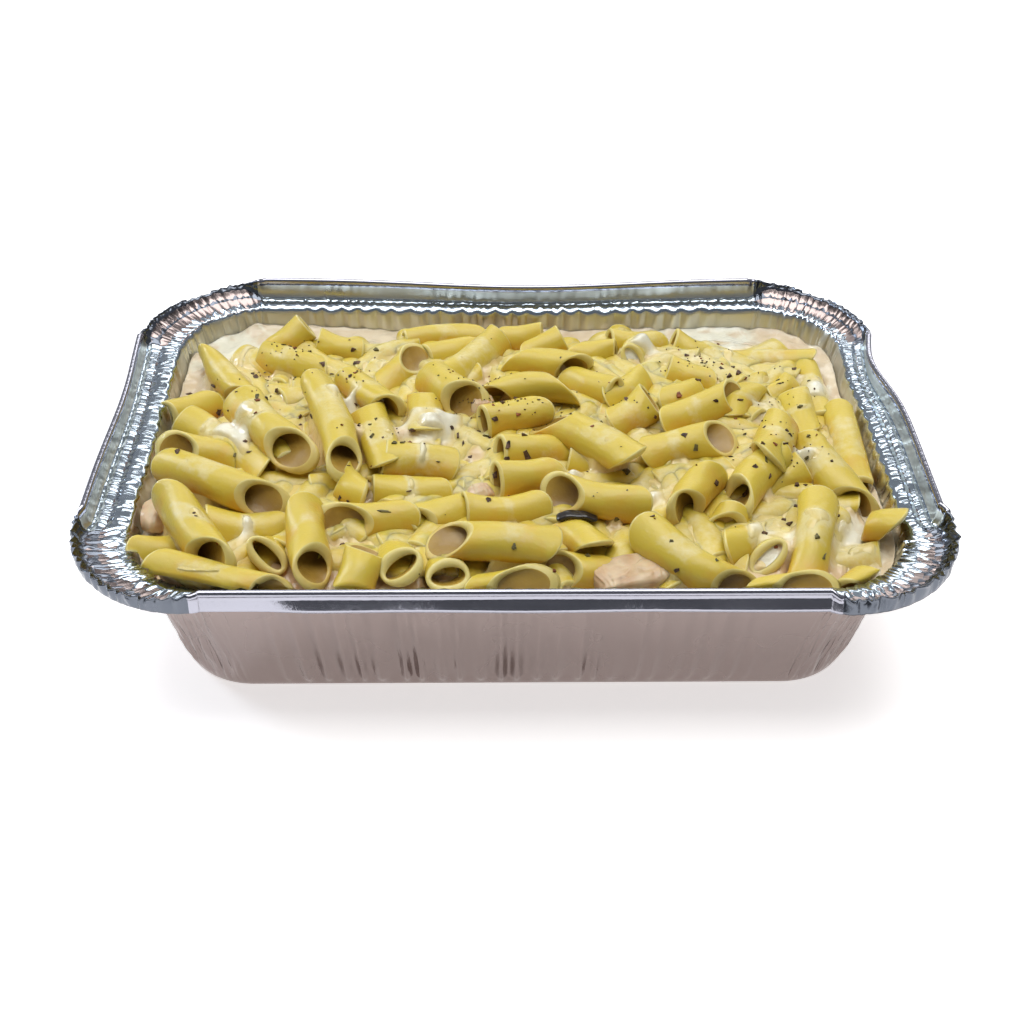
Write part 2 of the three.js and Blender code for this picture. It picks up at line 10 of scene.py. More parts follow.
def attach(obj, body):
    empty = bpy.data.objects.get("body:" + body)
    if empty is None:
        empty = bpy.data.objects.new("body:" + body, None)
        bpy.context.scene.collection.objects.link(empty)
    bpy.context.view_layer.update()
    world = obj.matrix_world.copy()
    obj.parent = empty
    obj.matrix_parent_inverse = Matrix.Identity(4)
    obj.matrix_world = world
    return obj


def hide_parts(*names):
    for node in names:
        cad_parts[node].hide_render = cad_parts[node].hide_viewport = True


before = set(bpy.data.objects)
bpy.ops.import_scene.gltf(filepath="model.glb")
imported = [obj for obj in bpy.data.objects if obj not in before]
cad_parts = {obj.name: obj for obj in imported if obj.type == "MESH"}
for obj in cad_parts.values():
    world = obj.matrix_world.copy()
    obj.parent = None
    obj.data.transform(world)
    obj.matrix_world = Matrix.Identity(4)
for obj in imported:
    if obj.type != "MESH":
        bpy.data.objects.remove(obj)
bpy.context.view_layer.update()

# A takeaway tray of pressed foil, heaped with penne in cream sauce, with bits of
# chicken, a slice of olive, dried herbs and ground pepper. Sizes are millimetres
# until a mesh is made, and +Z is up. Places are given from a point near the base's
# middle, and TRAY_MIDDLE is the middle of the tray's outline, seen from there: it
# becomes the origin when a mesh or the camera is made.

MM = 0.001
SEED = 11
TRAY_MIDDLE = (1.095, -2.277, 0)

# ---- The tray ----------------------------------------------------------------------

FOIL = 0.3
FLANGE_HEIGHT = 41.0
RIM_HEIGHT = 47.0
RIM_LEAN = 1.2
STRIP_DROP = 0.35  # how far the edges of the flange's pressed strips lie below it
BEAD_RADIUS = 0.9
BEAD_HEIGHT = RIM_HEIGHT - BEAD_RADIUS
HEEL_INSET = 1.2
HEEL_HEIGHT = 1.6

BASE_PLAN = {"x": 2, "y": -1, "half_length": 89, "half_width": 58.8, "corner": 20}
WALL_PLAN = {"x": 2, "y": -1.2, "half_length": 99.5, "half_width": 68.3, "corner": 25}
RIM_PLAN = {"x": 0.7, "y": -0.9, "half_length": 109.4, "half_width": 76.4, "corner": 34}

FLUTES = (28, 16)  # pressed flutes along a long and a short side
FLUTE_DEPTH = 1.2
FLUTE_ROOM = 1.5  # how far the greasy inside keeps clear of the flutes
FLUTE_FADE = (0.02, 0.12)  # the share of a side over which they begin and end
SHORT_SIDE_FLUTES = 0.35  # how strong they are there, against the long sides
WALL_WAVE = 0.22
PLEATS = 18  # crimped folds in each corner's frill
PLEAT_DEPTH = 1.1
CORNER_WRINKLE = 0.7
CORNER_FADE = 0.14  # the share of a corner at each end where its crimping fades out

RISE_FROM = 0.38  # the share of the flange where it begins to slope up in a corner
FRILL_ROWS = 8  # flange rings that stay bright before the corner's pleated foil
FRILL_STEPS = 6  # ragged steps along a corner's edge
FOLD_STEP = (1.1, 3.2)  # least and most between two creases

# In the order front right, back right, back left and front left: how far the flange
# rises in each corner, and how far its frill leans out at its top and at its foot
# and its top is folded down.
CORNER_RISES = (1.0, 4.0, 4.0, 1.0)
FRILLS = ((4.8, 3.2, 1.2), (-0.3, 0, 1.3), (-0.6, 0, 1.3), (3.2, 2.2, 1.2))

# The rings that the foil is made of: heights on the wall's two sides, and on the
# rim's two faces the share of its height and how far out each ring lies.
INSIDE_HEIGHTS = (30, 32.5, 34.5, 36, 37.5, 39, 40.2)
OUTSIDE_HEIGHTS = (40.2, 37, 33, 28, 23, 18, 14, 11, 8.5, 6.5, 5, 4.2, 3.5, 2.9, 2.3, HEEL_HEIGHT)
RIM_INSIDE = ((0.25, -0.95), (0.5, -0.75), (0.75, -0.75))
RIM_OUTSIDE = ((0.84, 0.35), (0.65, 0.7), (0.42, 1.05), (0.2, 1.38), (0.06, 1.55), (0.02, 0.9))
BEAD_TURNS = (195, 150, 110, 70, 30, -10, -60)  # degrees round the bead

FOIL_INSIDE, FOIL_BRIGHT, FOIL_OUTSIDE, FOIL_SMOOTH, FOIL_PLEATED = range(5)  # its finishes

# Where the sides are pushed in: middle, depth and reach along X and along Y.
DENTS = ((7, 75, 5.0, 45, 22), (110, 27, 4.2, 15, 17), (-108, 10, 1.5, 8, 26))

# ---- The sauce ---------------------------------------------------------------------

FLOOR = FOIL + 0.4
FOOD_ROOM = FOIL + 0.8  # between the food and the tray's wall
UPPER_WALL = 28  # where the wall's flutes leave the sauce more room
SAUCE_LEVEL = 34.4
SAUCE_BAND = 2.6  # the width of the sauce that shows round the heap
BAND_LIMIT = 17
HEAP_MIDDLE = np.array([WALL_PLAN["x"], WALL_PLAN["y"]])
CORE_EDGE = 35.3  # the height of the heap's core at its edge and in its middle
CORE_MIDDLE = 39.6
SKIN_DEPTH = 0.55  # how far the sauce's skin stays under the top of a noodle
SAUCE_ROUND = 3.4  # how round the sauce lies in the gaps between noodles
SAUCE_RISE = 0.1
CREAM_LIFT = 1.75

# Where the sauce lies wide between the heap and the wall: middle, width and reach.
POOLS = (
    (-96, 56, 20, 26), (-40, 68, 7, 34), (35, 68, 6, 30), (97, 56, 16, 24),
    (101, 28, 9, 20), (101, -22, 5, 14), (99, -58, 8, 14),
)

# Cream that lies thick over the noodles: middle, reach and thickness.
CREAM_PATCHES = (
    (-24, -19, 13, 1.0), (-77, -7, 13, 0.9), (-68, -42, 12, 1.0), (-30, 33, 12, 0.9),
    (41, 47, 10, 1.0), (34, 2, 10, 0.9), (88, 22, 12, 0.9), (72, 16, 9, 0.8),
    (66, -45, 9, 0.9), (-45, 8, 6, 1.4), (-20, 0, 9, 1.5), (13, 19, 8, 1.1),
    (10, -18, 6, 1.2), (16, -27, 6, 1.3), (37, -31, 7, 1.1), (86, -44, 11, 1.0),
    (62, 62, 18, 1.0), (-88, 54, 18, 0.9), (80, -14, 7, 1.0), (55, 33, 9, 0.9),
)

# ---- The noodles -------------------------------------------------------------------
# Each is (x, y, z, heading, tilt, roll, length, width, cut, cut, plugged): its
# middle and sizes in mm, its headings in degrees, how slanted its two ends are
# cut, and which end, A at the tail or B at the head, is full of sauce.

LEFT_NOODLES = (
    (-82, 30, 39, -60, 0, -80, 35, 9, 45, 45, ""),
    (-65, -8, 46, 125, 0, -35, 38, 11, 50, 30, ""),
    (-64, -9, 40, 125, 0, -35, 36, 10, 45, 45, ""),
    (-48, -5, 46, 105, 0, 30, 46, 10, 45, 30, ""),
    (-77, -7, 40, -45, 0, 40, 38, 9.5, 10, 30, ""),
    (-90, 14, 38, 45, -10, 60, 18, 9, 10, 40, ""),
    (-85, -12, 41, 0, -15, 55, 23, 10, 50, 40, ""),
    (-76, -30, 44, 150, 0, -45, 41, 10, 50, 45, ""),
    (-36, -7, 43, 105, 0, 165, 34, 9.5, 45, 30, ""),
)

BACK_NOODLES = (
    (-63, 36, 39, -35, 5, 55, 29, 10, 10, 45, ""),
    (-50, 47, 38, -20, -5, 55, 17, 9, 10, 30, ""),
    (-66, 50, 39, -145, -25, -50, 17, 9, 10, 45, ""),
    (-39, 14, 43, -55, 5, -80, 27, 9.5, 20, 35, ""),
    (-18, 54, 37, 5, 0, 60, 28, 9, 10, 45, ""),
    (4, 54, 37, -170, 0, -60, 17, 9, 10, 45, ""),
    (-10, 36, 41, -120, 5, -45, 39, 9.5, 20, 45, ""),
    (-30, 33, 40, -125, -10, -40, 27, 9.5, 60, 45, ""),
    (-16, 46, 37, 25, -5, 60, 20, 9, 10, 45, ""),
    (12, 32, 42, 165, -5, -110, 27, 10, 45, 45, ""),
    (25, 43, 38, -175, -5, -90, 18, 9.5, 10, 45, ""),
    (11, 46, 39, -155, -15, -50, 16, 8.5, 10, 45, ""),
    (41, 47, 38, 65, -15, 45, 23, 8.5, 20, 45, "A"),
    (40, 50, 38, 5, -5, 60, 19, 8.5, 10, 45, ""),
    (56, 48, 36.5, -15, -15, 60, 14, 9, 10, 45, ""),
    (54, 28, 39.5, -25, -5, 55, 17, 9.5, 10, 45, ""),
)

MIDDLE_NOODLES = (
    (-24, -19, 43, -5, -5, 25, 22, 10, 10, 30, ""),
    (-26, -28, 39, -5, 0, 55, 23, 9.5, 10, 40, ""),
    (-42, -26, 40, 125, 0, 115, 19, 9.5, 40, 45, ""),
    (6, 15, 44, 180, -5, 55, 29, 10, 45, 45, ""),
    (24, 21, 41, 140, -10, -60, 20, 9.5, 10, 45, ""),
    (21, -11, 45, -45, 5, 0, 40, 11.5, 50, 40, ""),
    (2, 3, 43, 20, 0, 55, 21, 9.5, 10, 45, ""),
    (6, -13, 42, 15, -10, 55, 20, 9.5, 10, 45, ""),
    (5, -25, 42, 15, -5, 55, 20, 10, 10, 45, ""),
    (22, -16, 39.5, -15, -5, 55, 15, 9.5, 10, 45, ""),
    (35, 5, 42.5, -145, -15, -45, 18, 10.5, 20, 30, ""),
    (-16, 14, 44, 125, -5, -45, 25, 11.5, 40, 30, ""),
    (-23, 7, 42, 90, 0, -180, 28, 10, 45, 45, "A"),
    (34, 20, 40, -135, 5, -50, 22, 9.5, 10, 45, ""),
    (-1, -37, 40, 5, 0, 55, 24, 9.5, 10, 45, ""),
)

FRONT_NOODLES = (
    (-80, -50, 44, 120, 5, -65, 36, 11, 45, 45, ""),
    (-62, -47, 34, 95, -35, 50, 27, 10.5, 10, 30, ""),
    (-51, -52, 42, 100, 5, 40, 31, 10.5, 45, 45, ""),
    (-72, -66, 40, -15, -5, -135, 39, 10, 45, 45, ""),
    (-87, -50, 37, 25, -10, -125, 24, 10, 45, 45, ""),
    (-68, -42, 38, 0, -5, 50, 24, 10, 10, 45, ""),
    (-37, -41, 40, 10, -5, 55, 27, 10, 55, 45, ""),
    (-20, -39, 39, 25, 0, 50, 26, 10, 50, 45, ""),
    (-5, -54, 43, -5, 0, 10, 36, 11, 50, 40, ""),
    (-30, -50, 35, 105, -25, -30, 30, 11, 25, 30, ""),
    (-17, -53, 34, 95, -30, -5, 28, 10, 20, 30, ""),
    (0, -66, 38, -180, -15, -50, 24, 10, 60, 45, ""),
    (17, -47, 39, 120, -15, -165, 24, 9.5, 40, 40, ""),
    (22, -37, 44, -10, -5, 55, 30, 10, 50, 45, ""),
    (-38, -61, 39, 75, 15, -160, 20, 10, 45, 30, ""),
    (17, -59, 37, 0, -10, 50, 21, 10, 45, 45, ""),
)

RIGHT_NOODLES = (
    (45, -59, 40, 145, 15, -45, 37, 10.5, 45, 45, ""),
    (69, -67, 37, -175, -10, -45, 26, 10, 60, 45, ""),
    (48, -34, 43, 60, 0, 75, 23, 10.5, 40, 30, ""),
    (56, -41, 38, 55, 15, 55, 13, 9.5, 45, 20, ""),
    (65, -26, 42, 55, 5, -50, 28, 11, 40, 20, ""),
    (77, -49, 39.5, -105, -15, -180, 35, 9.5, 45, 20, ""),
    (87, -20, 38, -65, -10, -110, 33, 11.5, 30, 40, ""),
    (97, -43, 39.5, -30, 25, 0, 14, 9, 20, 50, ""),
    (88, -62, 36, 25, 0, 125, 14, 9, 30, 30, ""),
    (66, -45, 32, 85, -35, -45, 26, 10.5, 10, 30, "A"),
    (62, -47, 37, 30, -10, -135, 23, 9.5, 40, 45, "B"),
    (74, -22, 39.5, -150, -10, -40, 15, 9, 10, 45, ""),
    (75, 44, 35.5, 180, 0, -170, 37, 8.5, 45, 45, ""),
    (55, 8, 42, -150, -5, -50, 32, 10, 45, 45, ""),
    (49, -10, 42, -165, -5, -30, 30, 10.5, 45, 45, ""),
    (72, -12, 44, -110, 5, -45, 28, 11, 20, 45, ""),
    (95, -3, 36, -90, -5, -160, 39, 9, 45, 20, ""),
    (81, 26, 36.5, -135, -5, -35, 13, 7.5, 10, 45, ""),
    (84, 12, 37, -85, -5, 25, 23, 8.5, 10, 45, ""),
    (90, 26, 35, -90, 0, -155, 33, 8, 45, 20, ""),
    (49, 16, 40.5, -145, 5, -50, 18, 9, 10, 45, ""),
    (66, 15, 39, -120, 0, 20, 22, 9, 10, 45, ""),
)

NOODLE_REGIONS = {
    "penne_left": LEFT_NOODLES,
    "penne_back": BACK_NOODLES,
    "penne_middle": MIDDLE_NOODLES,
    "penne_front": FRONT_NOODLES,
    "penne_right": RIGHT_NOODLES,
}

SKIN, CUT, INSIDE, FULL, SKIN_AT_END = range(5)  # a noodle's finishes
SAUCE_UNDER = {INSIDE: 0.4, CUT: 1.2, SKIN_AT_END: 6.5}  # how far under each the sauce stays
OPEN_END = 6.0
NOODLE_WALL = 1.15
MOUTH_SQUASH = (0.36, 0.62)
UNDERSIDE_SHADE = 0.42
LIP_PALENESS = 0.3
SHOWN_GRID = (28, 16)  # points round a noodle, and rings along its skin
SUNK_GRID = (24, 12)  # the same where it is almost sunk in the sauce
SUNK_X, SUNK_Y = (-84, 92, 8.0), (-58, 56, 8.0)  # from, to and step along X and Y
SUNK_FIELD = (84, 52)  # half the length and width of the heap that they lie in
FIELD_MIDDLE = (2, -1)
SUNK_LENGTH = (22, 32)
SUNK_WIDTH = (9, 10)
SUNK_TOP = 2.1  # how far they stand over the heap's core
MOST_COVERED = 0.55  # how covered with other noodles a place for one may be
WIDEST_POOL = 9  # how wide the sauce beside the heap may be there
SUNK_PIECES = ("penne_sunk_left", "penne_sunk_middle", "penne_sunk_right")
HOLLOW_DEPTH = 14.0
PLUG_DEPTH = 1.0

# ---- Chicken and olive -------------------------------------------------------------

# Middle, size, heading and how square each bit is.
CHICKEN_BITS = {
    "chicken_chunk_front": ((30, -60.5, 36.3), (20, 12, 8.5), 18, 0.42),
    "chicken_bit_middle": ((-8, -31.5, 40.5), (7, 6, 7), 20, 0.6),
    "chicken_bit_centre": ((-7, 9, 41.5), (7, 8, 8), 0, 0.7),
    "chicken_shred_left": ((-92, -35, 38), (9, 14, 6), -20, 0.8),
    "chicken_bit_corner": ((-85, -64, 38), (8, 6, 6), 30, 0.6),
}

OLIVE_AT = (16.8, -42.6, 41.5)
OLIVE_RADIUS = 5.2
OLIVE_WALL = 2.6
OLIVE_THICKNESS = 3.0
OLIVE_ARC = (10, 170)

# ---- The camera, light and table ---------------------------------------------------

CAMERA_AT = (-7.5, -372.5, 292.1)
CAMERA_PITCH = 36.94
CAMERA_YAW = 1.356
CAMERA_ROLL = 0.657
FOCAL_PIXELS = 1614.0
PICTURE_SIDE = 1024  # pixels
SENSOR = 36.0

TABLE_FRONT = -190.0
TABLE_BACK = 2500.0
TABLE_SIDE = 1500.0

# Each lamp's place, aim and size in metres, its power in watts and its colour.
LAMPS = {
    "overhead": ((0, 0.25, 1.9), (0, 0, 0), (2.0, 1.6), 36, "#FFFFFF"),
    "window": ((-1.6, 0.9, 1.1), (0, 0, 0.03), (0.6, 0.5), 15, "#E6F1FF"),
    "back_card": ((0.3, 2.2, 1.15), (0, 0, 0.03), (1.8, 0.45), 8, "#FFFFFF"),
}

# ---- Small sums --------------------------------------------------------------------


def mix(low, high, share):
    return low + (high - low) * share


def ease(low, high, value):
    """Goes smoothly from 0 at low to 1 at high."""
    share = np.clip((value - low) / (high - low), 0, 1)
    return share * share * (3 - 2 * share)


def fade_ends(share, start, end):
    """Rises from 0 to 1 after the start of a share, and falls again before its end."""
    return ease(start, end, share) * ease(start, end, 1 - share)


def ripples(points, size, seed, layers=6):
    """Rolling noise from about -1 to 1, whose bumps are about size mm long."""
    draw = np.random.default_rng(seed)
    total = np.zeros(len(points))
    for _ in range(layers):
        way = draw.normal(size=points.shape[1])
        way *= 2 * math.pi / size / np.linalg.norm(way) * draw.uniform(0.6, 1.5)
        total += np.sin(points @ way + draw.uniform(0, 2 * math.pi))
    return total / math.sqrt(layers) / 1.2


def creases(points, size, seed):
    """Sharp-edged folds from 0 to 1, about size mm apart."""
    return 1 - np.abs(ripples(points, size * 2, seed)).clip(0, 1) ** 0.8


# ---- Meshes ------------------------------------------------------------------------


def grid_faces(rows, around, closed):
    """Quads between rows of points, each row a ring; closed joins the last row to the first."""
    bands = rows if closed else rows - 1
    here = np.arange(bands)[:, None] * around
    after = (np.arange(bands)[:, None] + 1) % rows * around
    step = np.arange(around)[None, :]
    turn = (step + 1) % around
    return np.stack([here + step, here + turn, after + turn, after + step], -1).reshape(-1, 4)


def facing_out(points, quads):
    """Turns the quads round where they enclose a negative volume."""
    a, b, c, d = (points[quads[:, i]] for i in range(4))
    volume = np.einsum("ij,ij->i", a, np.cross(b, c) + np.cross(c, d)).sum()
    return quads if volume > 0 else quads[:, ::-1]


def skin_of(rows, closed=False):
    """A closed skin through rows of rings. Open ends are closed with a fan of quads."""
    rows = np.asarray(rows, float)
    if not closed:
        first = rows[0].mean(0) + (rows[0] - rows[0].mean(0)) * 1e-3
        last = rows[-1].mean(0) + (rows[-1] - rows[-1].mean(0)) * 1e-3
        rows = np.concatenate([first[None], rows, last[None]])
    count, around = rows.shape[:2]
    points = rows.reshape(-1, 3)
    return points, facing_out(points, grid_faces(count, around, closed))


def add_mesh(name, points, faces, finishes, finish_of=None, attributes=None):
    """Makes an object of points in mm, with one finish or several, and its attributes."""
    mesh = bpy.data.meshes.new(name)
    mesh.from_pydata(((np.asarray(points) - TRAY_MIDDLE) * MM).tolist(), [],
                     faces.tolist() if isinstance(faces, np.ndarray) else faces)
    for finish in finishes:
        mesh.materials.append(finish)
    if finish_of is not None:
        mesh.polygons.foreach_set("material_index", np.asarray(finish_of, np.int32))
    for key, values in (attributes or {}).items():
        layer = mesh.attributes.new(key, "FLOAT", "POINT")
        layer.data.foreach_set("value", np.asarray(values, np.float32))
    mesh.shade_smooth()
    mesh.validate()
    piece = bpy.data.objects.new(name, mesh)
    bpy.context.scene.collection.objects.link(piece)
    return piece


def place_piece(piece, slot, *nodes):
    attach(piece, "root")
    if nodes:
        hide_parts(*nodes)


# ---- Material nodes ----------------------------------------------------------------


def linear(hex_colour):
    """sRGB hex to the linear colour that shaders use."""
    parts = [int(hex_colour[i:i + 2], 16) / 255 for i in (1, 3, 5)]
    return (*(p / 12.92 if p <= 0.04045 else ((p + 0.055) / 1.055) ** 2.4 for p in parts), 1.0)


def add_node(tree, kind, sockets=None, **settings):
    """Adds a node, sets its settings, and sets or links its sockets."""
    node = tree.nodes.new(kind)
    for key, value in settings.items():
        setattr(node, key, value)
    for key, value in (sockets or {}).items():
        if isinstance(value, bpy.types.NodeSocket):
            tree.links.new(value, node.inputs[key])
        else:
            node.inputs[key].default_value = value
    return node


def start_material(name):
    """An empty material, its tree and the object's own coordinates."""
    material = bpy.data.materials.new(name)
    material.use_nodes = True
    tree = material.node_tree
    tree.nodes.clear()
    place = add_node(tree, "ShaderNodeTexCoord").outputs["Object"]
    return material, tree, place


def finish_material(tree, **sockets):
    """Ends a material with one surface, whose sockets are named with _ for a space."""
    named = {key.replace("_", " "): value for key, value in sockets.items()}
    surface = add_node(tree, "ShaderNodeBsdfPrincipled", named).outputs[0]
    add_node(tree, "ShaderNodeOutputMaterial", {"Surface": surface})


def per_metre(size_mm):
    """The texture scale that gives features of a size in mm."""
    return 1 / (size_mm * MM)


def attribute(tree, name):
    return add_node(tree, "ShaderNodeAttribute", attribute_name=name).outputs["Fac"]


def noise(tree, place, size_mm, detail, **sockets):
    """Cloudy noise whose features are about size_mm long."""
    return add_node(tree, "ShaderNodeTexNoise", {
        "Vector": place, "Scale": per_metre(size_mm), "Detail": detail, **sockets,
    }).outputs["Fac"]


def calculate(tree, operation, first, second):
    return add_node(tree, "ShaderNodeMath", {0: first, 1: second}, operation=operation).outputs[0]


def spread(tree, value, low, high, out_low=0.0, out_high=1.0, **settings):
    """Stretches a value from between low and high to between out_low and out_high."""
    return add_node(tree, "ShaderNodeMapRange", {
        "Value": value, "From Min": low, "From Max": high, "To Min": out_low, "To Max": out_high,
    }, **settings).outputs[0]


def blend(tree, share, first, second):
    """Goes from the first colour to the second. Each is sRGB hex or a socket."""
    ends = [linear(end) if isinstance(end, str) else end for end in (first, second)]
    sockets = {0: share, 6: ends[0], 7: ends[1]}
    return add_node(tree, "ShaderNodeMix", sockets, data_type="RGBA").outputs[2]


def bump(tree, height, strength, depth_mm, **sockets):
    """Fine relief of a strength and a depth, on top of the Normal that is given."""
    return add_node(tree, "ShaderNodeBump", {
        "Height": height, "Strength": strength, "Distance": depth_mm * MM, **sockets,
    }).outputs[0]


def boiled_penne(name, light, deep, cream_share):
    """Boiled durum pasta: dull yellow, a little see-through, wet with sauce that
    breaks its shine into small sparkles, with a film of cream where it was dipped."""
    material, tree, place = start_material(name)
    cloud = noise(tree, place, 8, 3)
    streak = noise(tree, place, 2.4, 4, Roughness=0.6)
    drops = noise(tree, place, 0.8, 2, Roughness=0.6)
    # Painted shade: the deep colour goes mostly on the underside of each noodle, from the attribute
    # that build_noodle paints, and in cloudy patches of its own colour.
    depth = spread(tree, calculate(tree, "ADD", cloud, attribute(tree, "painted_shade_and_tone")), 0.25, 0.85)
    film = calculate(tree, "ADD", streak, attribute(tree, "cream"))
    covered = spread(tree, film, 0.66, 1.4, 0.0, cream_share, interpolation_type="SMOOTHSTEP")
    lumps = bump(tree, streak, 0.2, 0.6)
    finish_material(
        tree, Base_Color=blend(tree, covered, blend(tree, depth, light, deep), "#E4DAB0"),
        Roughness=spread(tree, streak, 0.3, 0.7, 0.3, 0.5), Normal=lumps, IOR=1.42,
        Subsurface_Weight=0.6, Subsurface_Radius=(1.0, 0.95, 0.75), Subsurface_Scale=1.2 * MM,
        Coat_Weight=0.5, Coat_Roughness=0.1, Coat_Normal=bump(tree, drops, 1.0, 0.35, Normal=lumps))
    return material


def cream_sauce_finish(name, light, warm):
    """Cream sauce: warm ivory, thick and wet, whiter where it was poured last and
    yellow where it is only a film over the pasta."""
    material, tree, place = start_material(name)
    cloud = noise(tree, place, 14, 3)
    streak = noise(tree, place, 3.5, 4, Distortion=0.8)
    drops = noise(tree, place, 1.6, 2)
    whiteness = calculate(tree, "ADD", streak, attribute(tree, "cream"))
    covered = spread(tree, whiteness, 0.52, 1.1, interpolation_type="SMOOTHSTEP")
    base = blend(tree, spread(tree, cloud, 0.35, 0.65), light, warm)
    film = spread(tree, attribute(tree, "pasta"), 0.0, 1.0, 0.0, 0.8)
    lumps = bump(tree, streak, 0.45, 0.8, Normal=bump(tree, drops, 0.3, 0.3))
    finish_material(
        tree, Base_Color=blend(tree, film, blend(tree, covered, base, "#EBE7D2"), "#DCC66C"),
        Roughness=0.25, Normal=lumps, IOR=1.45,
        Subsurface_Weight=0.3, Subsurface_Radius=(1.0, 0.95, 0.85), Subsurface_Scale=1.5 * MM,
        Coat_Weight=0.5, Coat_Roughness=0.08, Coat_Normal=lumps)
    return material


def cooked_chicken():
    """Poached chicken breast: pale pinkish tan, with fine fibres side by side."""
    material, tree, place = start_material("cooked_chicken")
    fibres = add_node(tree, "ShaderNodeTexWave", {
        "Vector": place, "Scale": per_metre(22), "Distortion": 3,
        "Detail": 2, "Detail Scale": per_metre(360),
    }, bands_direction="X").outputs["Fac"]
    flesh = blend(tree, spread(tree, noise(tree, place, 4, 3), 0.35, 0.7), "#D4B68E", "#B8926C")
    finish_material(
        tree, Base_Color=blend(tree, spread(tree, fibres, 0.0, 1.0, 0.0, 0.35), flesh, "#E6D8B4"),
        Roughness=0.38, Normal=bump(tree, fibres, 0.5, 0.4), IOR=1.42,
        Subsurface_Weight=0.3, Subsurface_Radius=(1.0, 0.5, 0.3), Subsurface_Scale=2 * MM,
        Coat_Weight=0.3, Coat_Roughness=0.15)
    return material


def black_olive():
    """Ripe black olive in brine: near black, mottled with a duller brown."""
    material, tree, place = start_material("black_olive")
    cloud = noise(tree, place, 1.5, 3)
    finish_material(
        tree, Base_Color=blend(tree, cloud, "#15110F", "#39322E"), Roughness=0.25,
        Normal=bump(tree, cloud, 0.3, 0.3), IOR=1.45, Coat_Weight=0.4, Coat_Roughness=0.15)
    return material


def dried_leaf(name, dark, light):
    """Crumbled dried leaf: dull, brown to olive, in darker and lighter patches."""
    material, tree, place = start_material(name)
    cloud = noise(tree, place, 1.2, 3)
    finish_material(
        tree, Base_Color=blend(tree, spread(tree, cloud, 0.35, 0.65), dark, light), Roughness=0.55,
        Normal=bump(tree, cloud, 0.4, 0.2), IOR=1.4)
    return material


def rolled_foil(name, tint, rough, crumple):
    """Rolled aluminium foil: a mirror broken up by fine creases that run out from
    the food, by soft crumples, and by a duller sheen where it is greasy."""
    material, tree, place = start_material(name)
    height = add_node(tree, "ShaderNodeSeparateXYZ", {"Vector": place}).outputs["Z"]
    folded = add_node(tree, "ShaderNodeCombineXYZ", {
        "X": calculate(tree, "MULTIPLY", attribute(tree, "run"), MM),
        "Y": calculate(tree, "MULTIPLY", height, 0.3),
    }).outputs[0]
    folds = noise(tree, folded, 1.6, 3, Roughness=0.6)
    coarse = add_node(tree, "ShaderNodeTexVoronoi", {"Vector": place, "Scale": per_metre(6)},
                      feature="SMOOTH_F1").outputs["Distance"]
    soft = bump(tree, coarse, 0.08 * crumple, 0.8)
    finish_material(
        tree, Base_Color=linear(tint), Metallic=1.0,
        Roughness=spread(tree, noise(tree, place, 18, 2), 0.3, 0.7, rough * 0.7, rough * 1.4),
        Normal=bump(tree, folds, 0.6 * crumple, 0.5, Normal=soft))
    return material


# ---- The tray's outline and foil ------------------------------------------------------------


class Outline:
    """Samples round a rectangle with round corners, anticlockwise from the front
    left: each side, then the corner it leads to. The samples are the same on
    every plan, so rings of different plans join up."""

    def __init__(self, long_steps, short_steps, corner_steps):
        facing, share, angle, corner = [], [], [], []
        for side in range(4):
            steps = (long_steps, short_steps)[side % 2]
            turn = (side - 1) * math.pi / 2
            straight = [step / steps for step in range(steps)]
            rounded = [step / corner_steps for step in range(corner_steps)]
            facing += [turn] * (steps + corner_steps)
            share += straight + rounded
            angle += [turn] * steps + [turn + part * math.pi / 2 for part in rounded]
            corner += [-1] * steps + [side] * corner_steps
        self.corner = np.array(corner)
        self.share = np.array(share)
        self.straight = self.corner < 0
        self.long = np.abs(np.sin(facing)) > 0.5
        self.side_out = np.stack([np.cos(facing), np.sin(facing)], -1)
        self.side_along = np.stack([-np.sin(facing), np.cos(facing)], -1)
        self.out = np.stack([np.cos(angle), np.sin(angle)], -1)
        self.run = np.where(self.straight, 2 * self.share - 1, 1.0)

    def on(self, plan):
        """The samples' places in plan."""
        half_x = plan["half_length"] - plan["corner"]
        half_y = plan["half_width"] - plan["corner"]
        along = np.where(self.long, half_x, half_y)[:, None]
        reach = np.where(self.long, half_y, half_x)[:, None]
        middle = np.array([plan["x"], plan["y"]], float)
        return (middle + self.side_out * reach + self.side_along * along * self.run[:, None]
                + self.out * plan["corner"])


def mix_plans(low, high, share):
    return {key: mix(low[key], high[key], share) for key in low}


def wall_plan(height):
    return mix_plans(BASE_PLAN, WALL_PLAN, height / FLANGE_HEIGHT)


def dent_at(places):
    """How far the sides are pushed in at places in plan."""
    depth = np.zeros(len(places))
    for x, y, deep, wide, long in DENTS:
        depth += deep * np.exp(-((places[:, 0] - x) / wide) ** 2 - ((places[:, 1] - y) / long) ** 2)
    return depth


